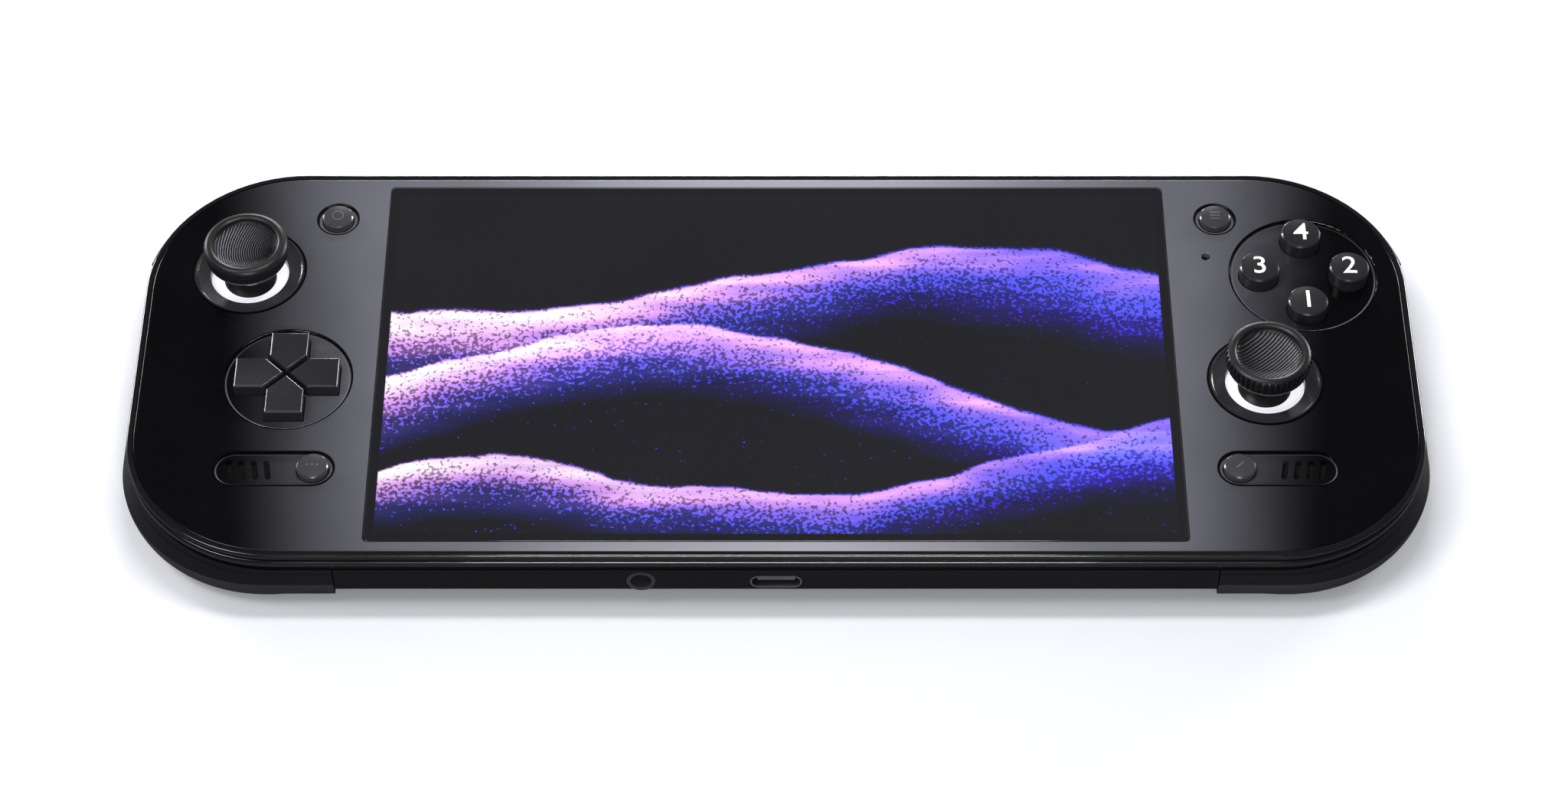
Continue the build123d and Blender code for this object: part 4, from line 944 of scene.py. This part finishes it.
# Turns a flat sheet above a node into a thin solid that follows its surface
def layOn(work, node):
    surface = surfaceOf(node)
    bmesh.ops.triangulate(work, faces=work.faces)
    bmesh.ops.subdivide_edges(work, edges=work.edges, cuts=printing["cuts"], use_grid_fill=True)
    lower = list(work.verts)
    raised = bmesh.ops.extrude_face_region(work, geom=work.faces)["geom"]
    upper = {item for item in raised if isinstance(item, bmesh.types.BMVert)}
    for vert in list(upper) + lower:
        start = Vector((vert.co.x, vert.co.y, printing["rayHeight"]))
        hit = surface.ray_cast(start, Vector((0, 0, -1)))[0]
        vert.co.z = hit.z + (printing["lift"] if vert in upper else -printing["sink"])
    bmesh.ops.recalc_face_normals(work, faces=work.faces)


def nodeCentre(node):
    low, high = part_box(node)
    return Vector(((low.x + high.x) / 2, (low.y + high.y) / 2, 0))


def printNumeral(node, text):
    curve = bpy.data.curves.new(node + "Text", "FONT")
    curve.body = text
    curve.size = numerals["size"]
    curve.offset = numerals["bold"]
    curve.align_x, curve.align_y = "CENTER", "CENTER"
    holder = bpy.data.objects.new(node + "Text", curve)
    bpy.context.collection.objects.link(holder)
    bpy.context.view_layer.update()
    evaluated = holder.evaluated_get(bpy.context.evaluated_depsgraph_get())
    flat = bpy.data.meshes.new_from_object(evaluated)
    work = bmesh.new()
    work.from_mesh(flat)
    bmesh.ops.remove_doubles(work, verts=work.verts, dist=printing["weld"])
    bpy.data.objects.remove(holder)
    bpy.data.meshes.remove(flat)
    bmesh.ops.translate(work, verts=work.verts, vec=nodeCentre(node))
    layOn(work, node)
    finishPiece(work, "numeral" + text, materials["inkAndGlintWhite"], node)


for buttonName, text in numerals["marks"].items():
    printNumeral(buttonName, text)
print("numerals printed")


smallMarks = {
    # inner and outer radius
    "ring": (0.85 * mm, 1.1 * mm),
    "ringSteps": 40,
    # length and width
    "bar": (1.9 * mm, 0.34 * mm),
    "barPitch": 0.75 * mm,
    "barSegments": 4,
    "dotRadius": 0.252 * mm,
    "dotPitch": 0.8625 * mm,
    "dotSegments": 20,
    "slashTurn": math.radians(45),
}


def addBar(work, centre, length, width, turn=0):
    size = Matrix.Diagonal((length, width, 1, 1))
    matrix = Matrix.Translation(centre) @ Matrix.Rotation(turn, 4, "Z") @ size
    bmesh.ops.create_grid(
        work, x_segments=smallMarks["barSegments"], y_segments=1, size=0.5, matrix=matrix
    )


def addRing(work, centre, inner, outer):
    ends = [work.verts.new(centre + Vector((radius, 0, 0))) for radius in (inner, outer)]
    bmesh.ops.spin(
        work, geom=ends + [work.edges.new(ends)], cent=centre, axis=(0, 0, 1), dvec=(0, 0, 0),
        angle=2 * math.pi, steps=smallMarks["ringSteps"], use_merge=True, use_duplicate=False,
    )


def markSmallButton(node, kind):
    work = bmesh.new()
    centre = nodeCentre(node)
    length, width = smallMarks["bar"]
    if kind == "ring":
        addRing(work, centre, *smallMarks["ring"])
    elif kind == "bars":
        for row in (-1, 0, 1):
            addBar(work, centre + Vector((0, row * smallMarks["barPitch"], 0)), length, width)
    elif kind == "dots":
        for column in (-1, 0, 1):
            spot = centre + Vector((column * smallMarks["dotPitch"], 0, 0))
            bmesh.ops.create_circle(
                work, cap_ends=True, segments=smallMarks["dotSegments"],
                radius=smallMarks["dotRadius"], matrix=Matrix.Translation(spot),
            )
    else:
        addBar(work, centre, length, width, smallMarks["slashTurn"])
    layOn(work, node)
    markName = node.replace("_", " ").title().replace(" ", "") + "Mark"
    finishPiece(work, markName, materials["inkGrey"], node)


smallKinds = {
    "left_upper_button": "ring", "left_lower_button": "dots",
    "right_upper_button": "bars", "right_lower_button": "slash",
}
for buttonName, kind in smallKinds.items():
    markSmallButton(buttonName, kind)
print("small marks printed")


# Floor
def addFloor():
    half = studio["floorHalf"]
    work = bmesh.new()
    bmesh.ops.create_grid(work, x_segments=1, y_segments=1, size=half)
    mesh = bpy.data.meshes.new("floor")
    work.to_mesh(mesh)
    work.free()
    material, tree, shader = startMaterial("floorPaper", Roughness=studio["floorRoughness"])
    # behind the part the floor stays bright in reflections
    back = addNode(tree, "ShaderNodeSeparateXYZ", {0: objectPlace(tree)}).outputs["Y"]
    near = rangeNode(tree, back, studio["mirroredFrom"], (1.0, 0.0))
    glossy = addNode(tree, "ShaderNodeLightPath").outputs["Is Glossy Ray"]
    mirrored = mathNode(tree, "MULTIPLY", glossy, near)
    shade = blendNode(tree, mirrored, studio["floorColour"], studio["floorMirrored"])
    tree.links.new(shade, shader.inputs["Base Color"])
    mesh.materials.append(material)
    floor = bpy.data.objects.new("floor", mesh)
    bpy.context.collection.objects.link(floor)


addFloor()
print("floor laid")
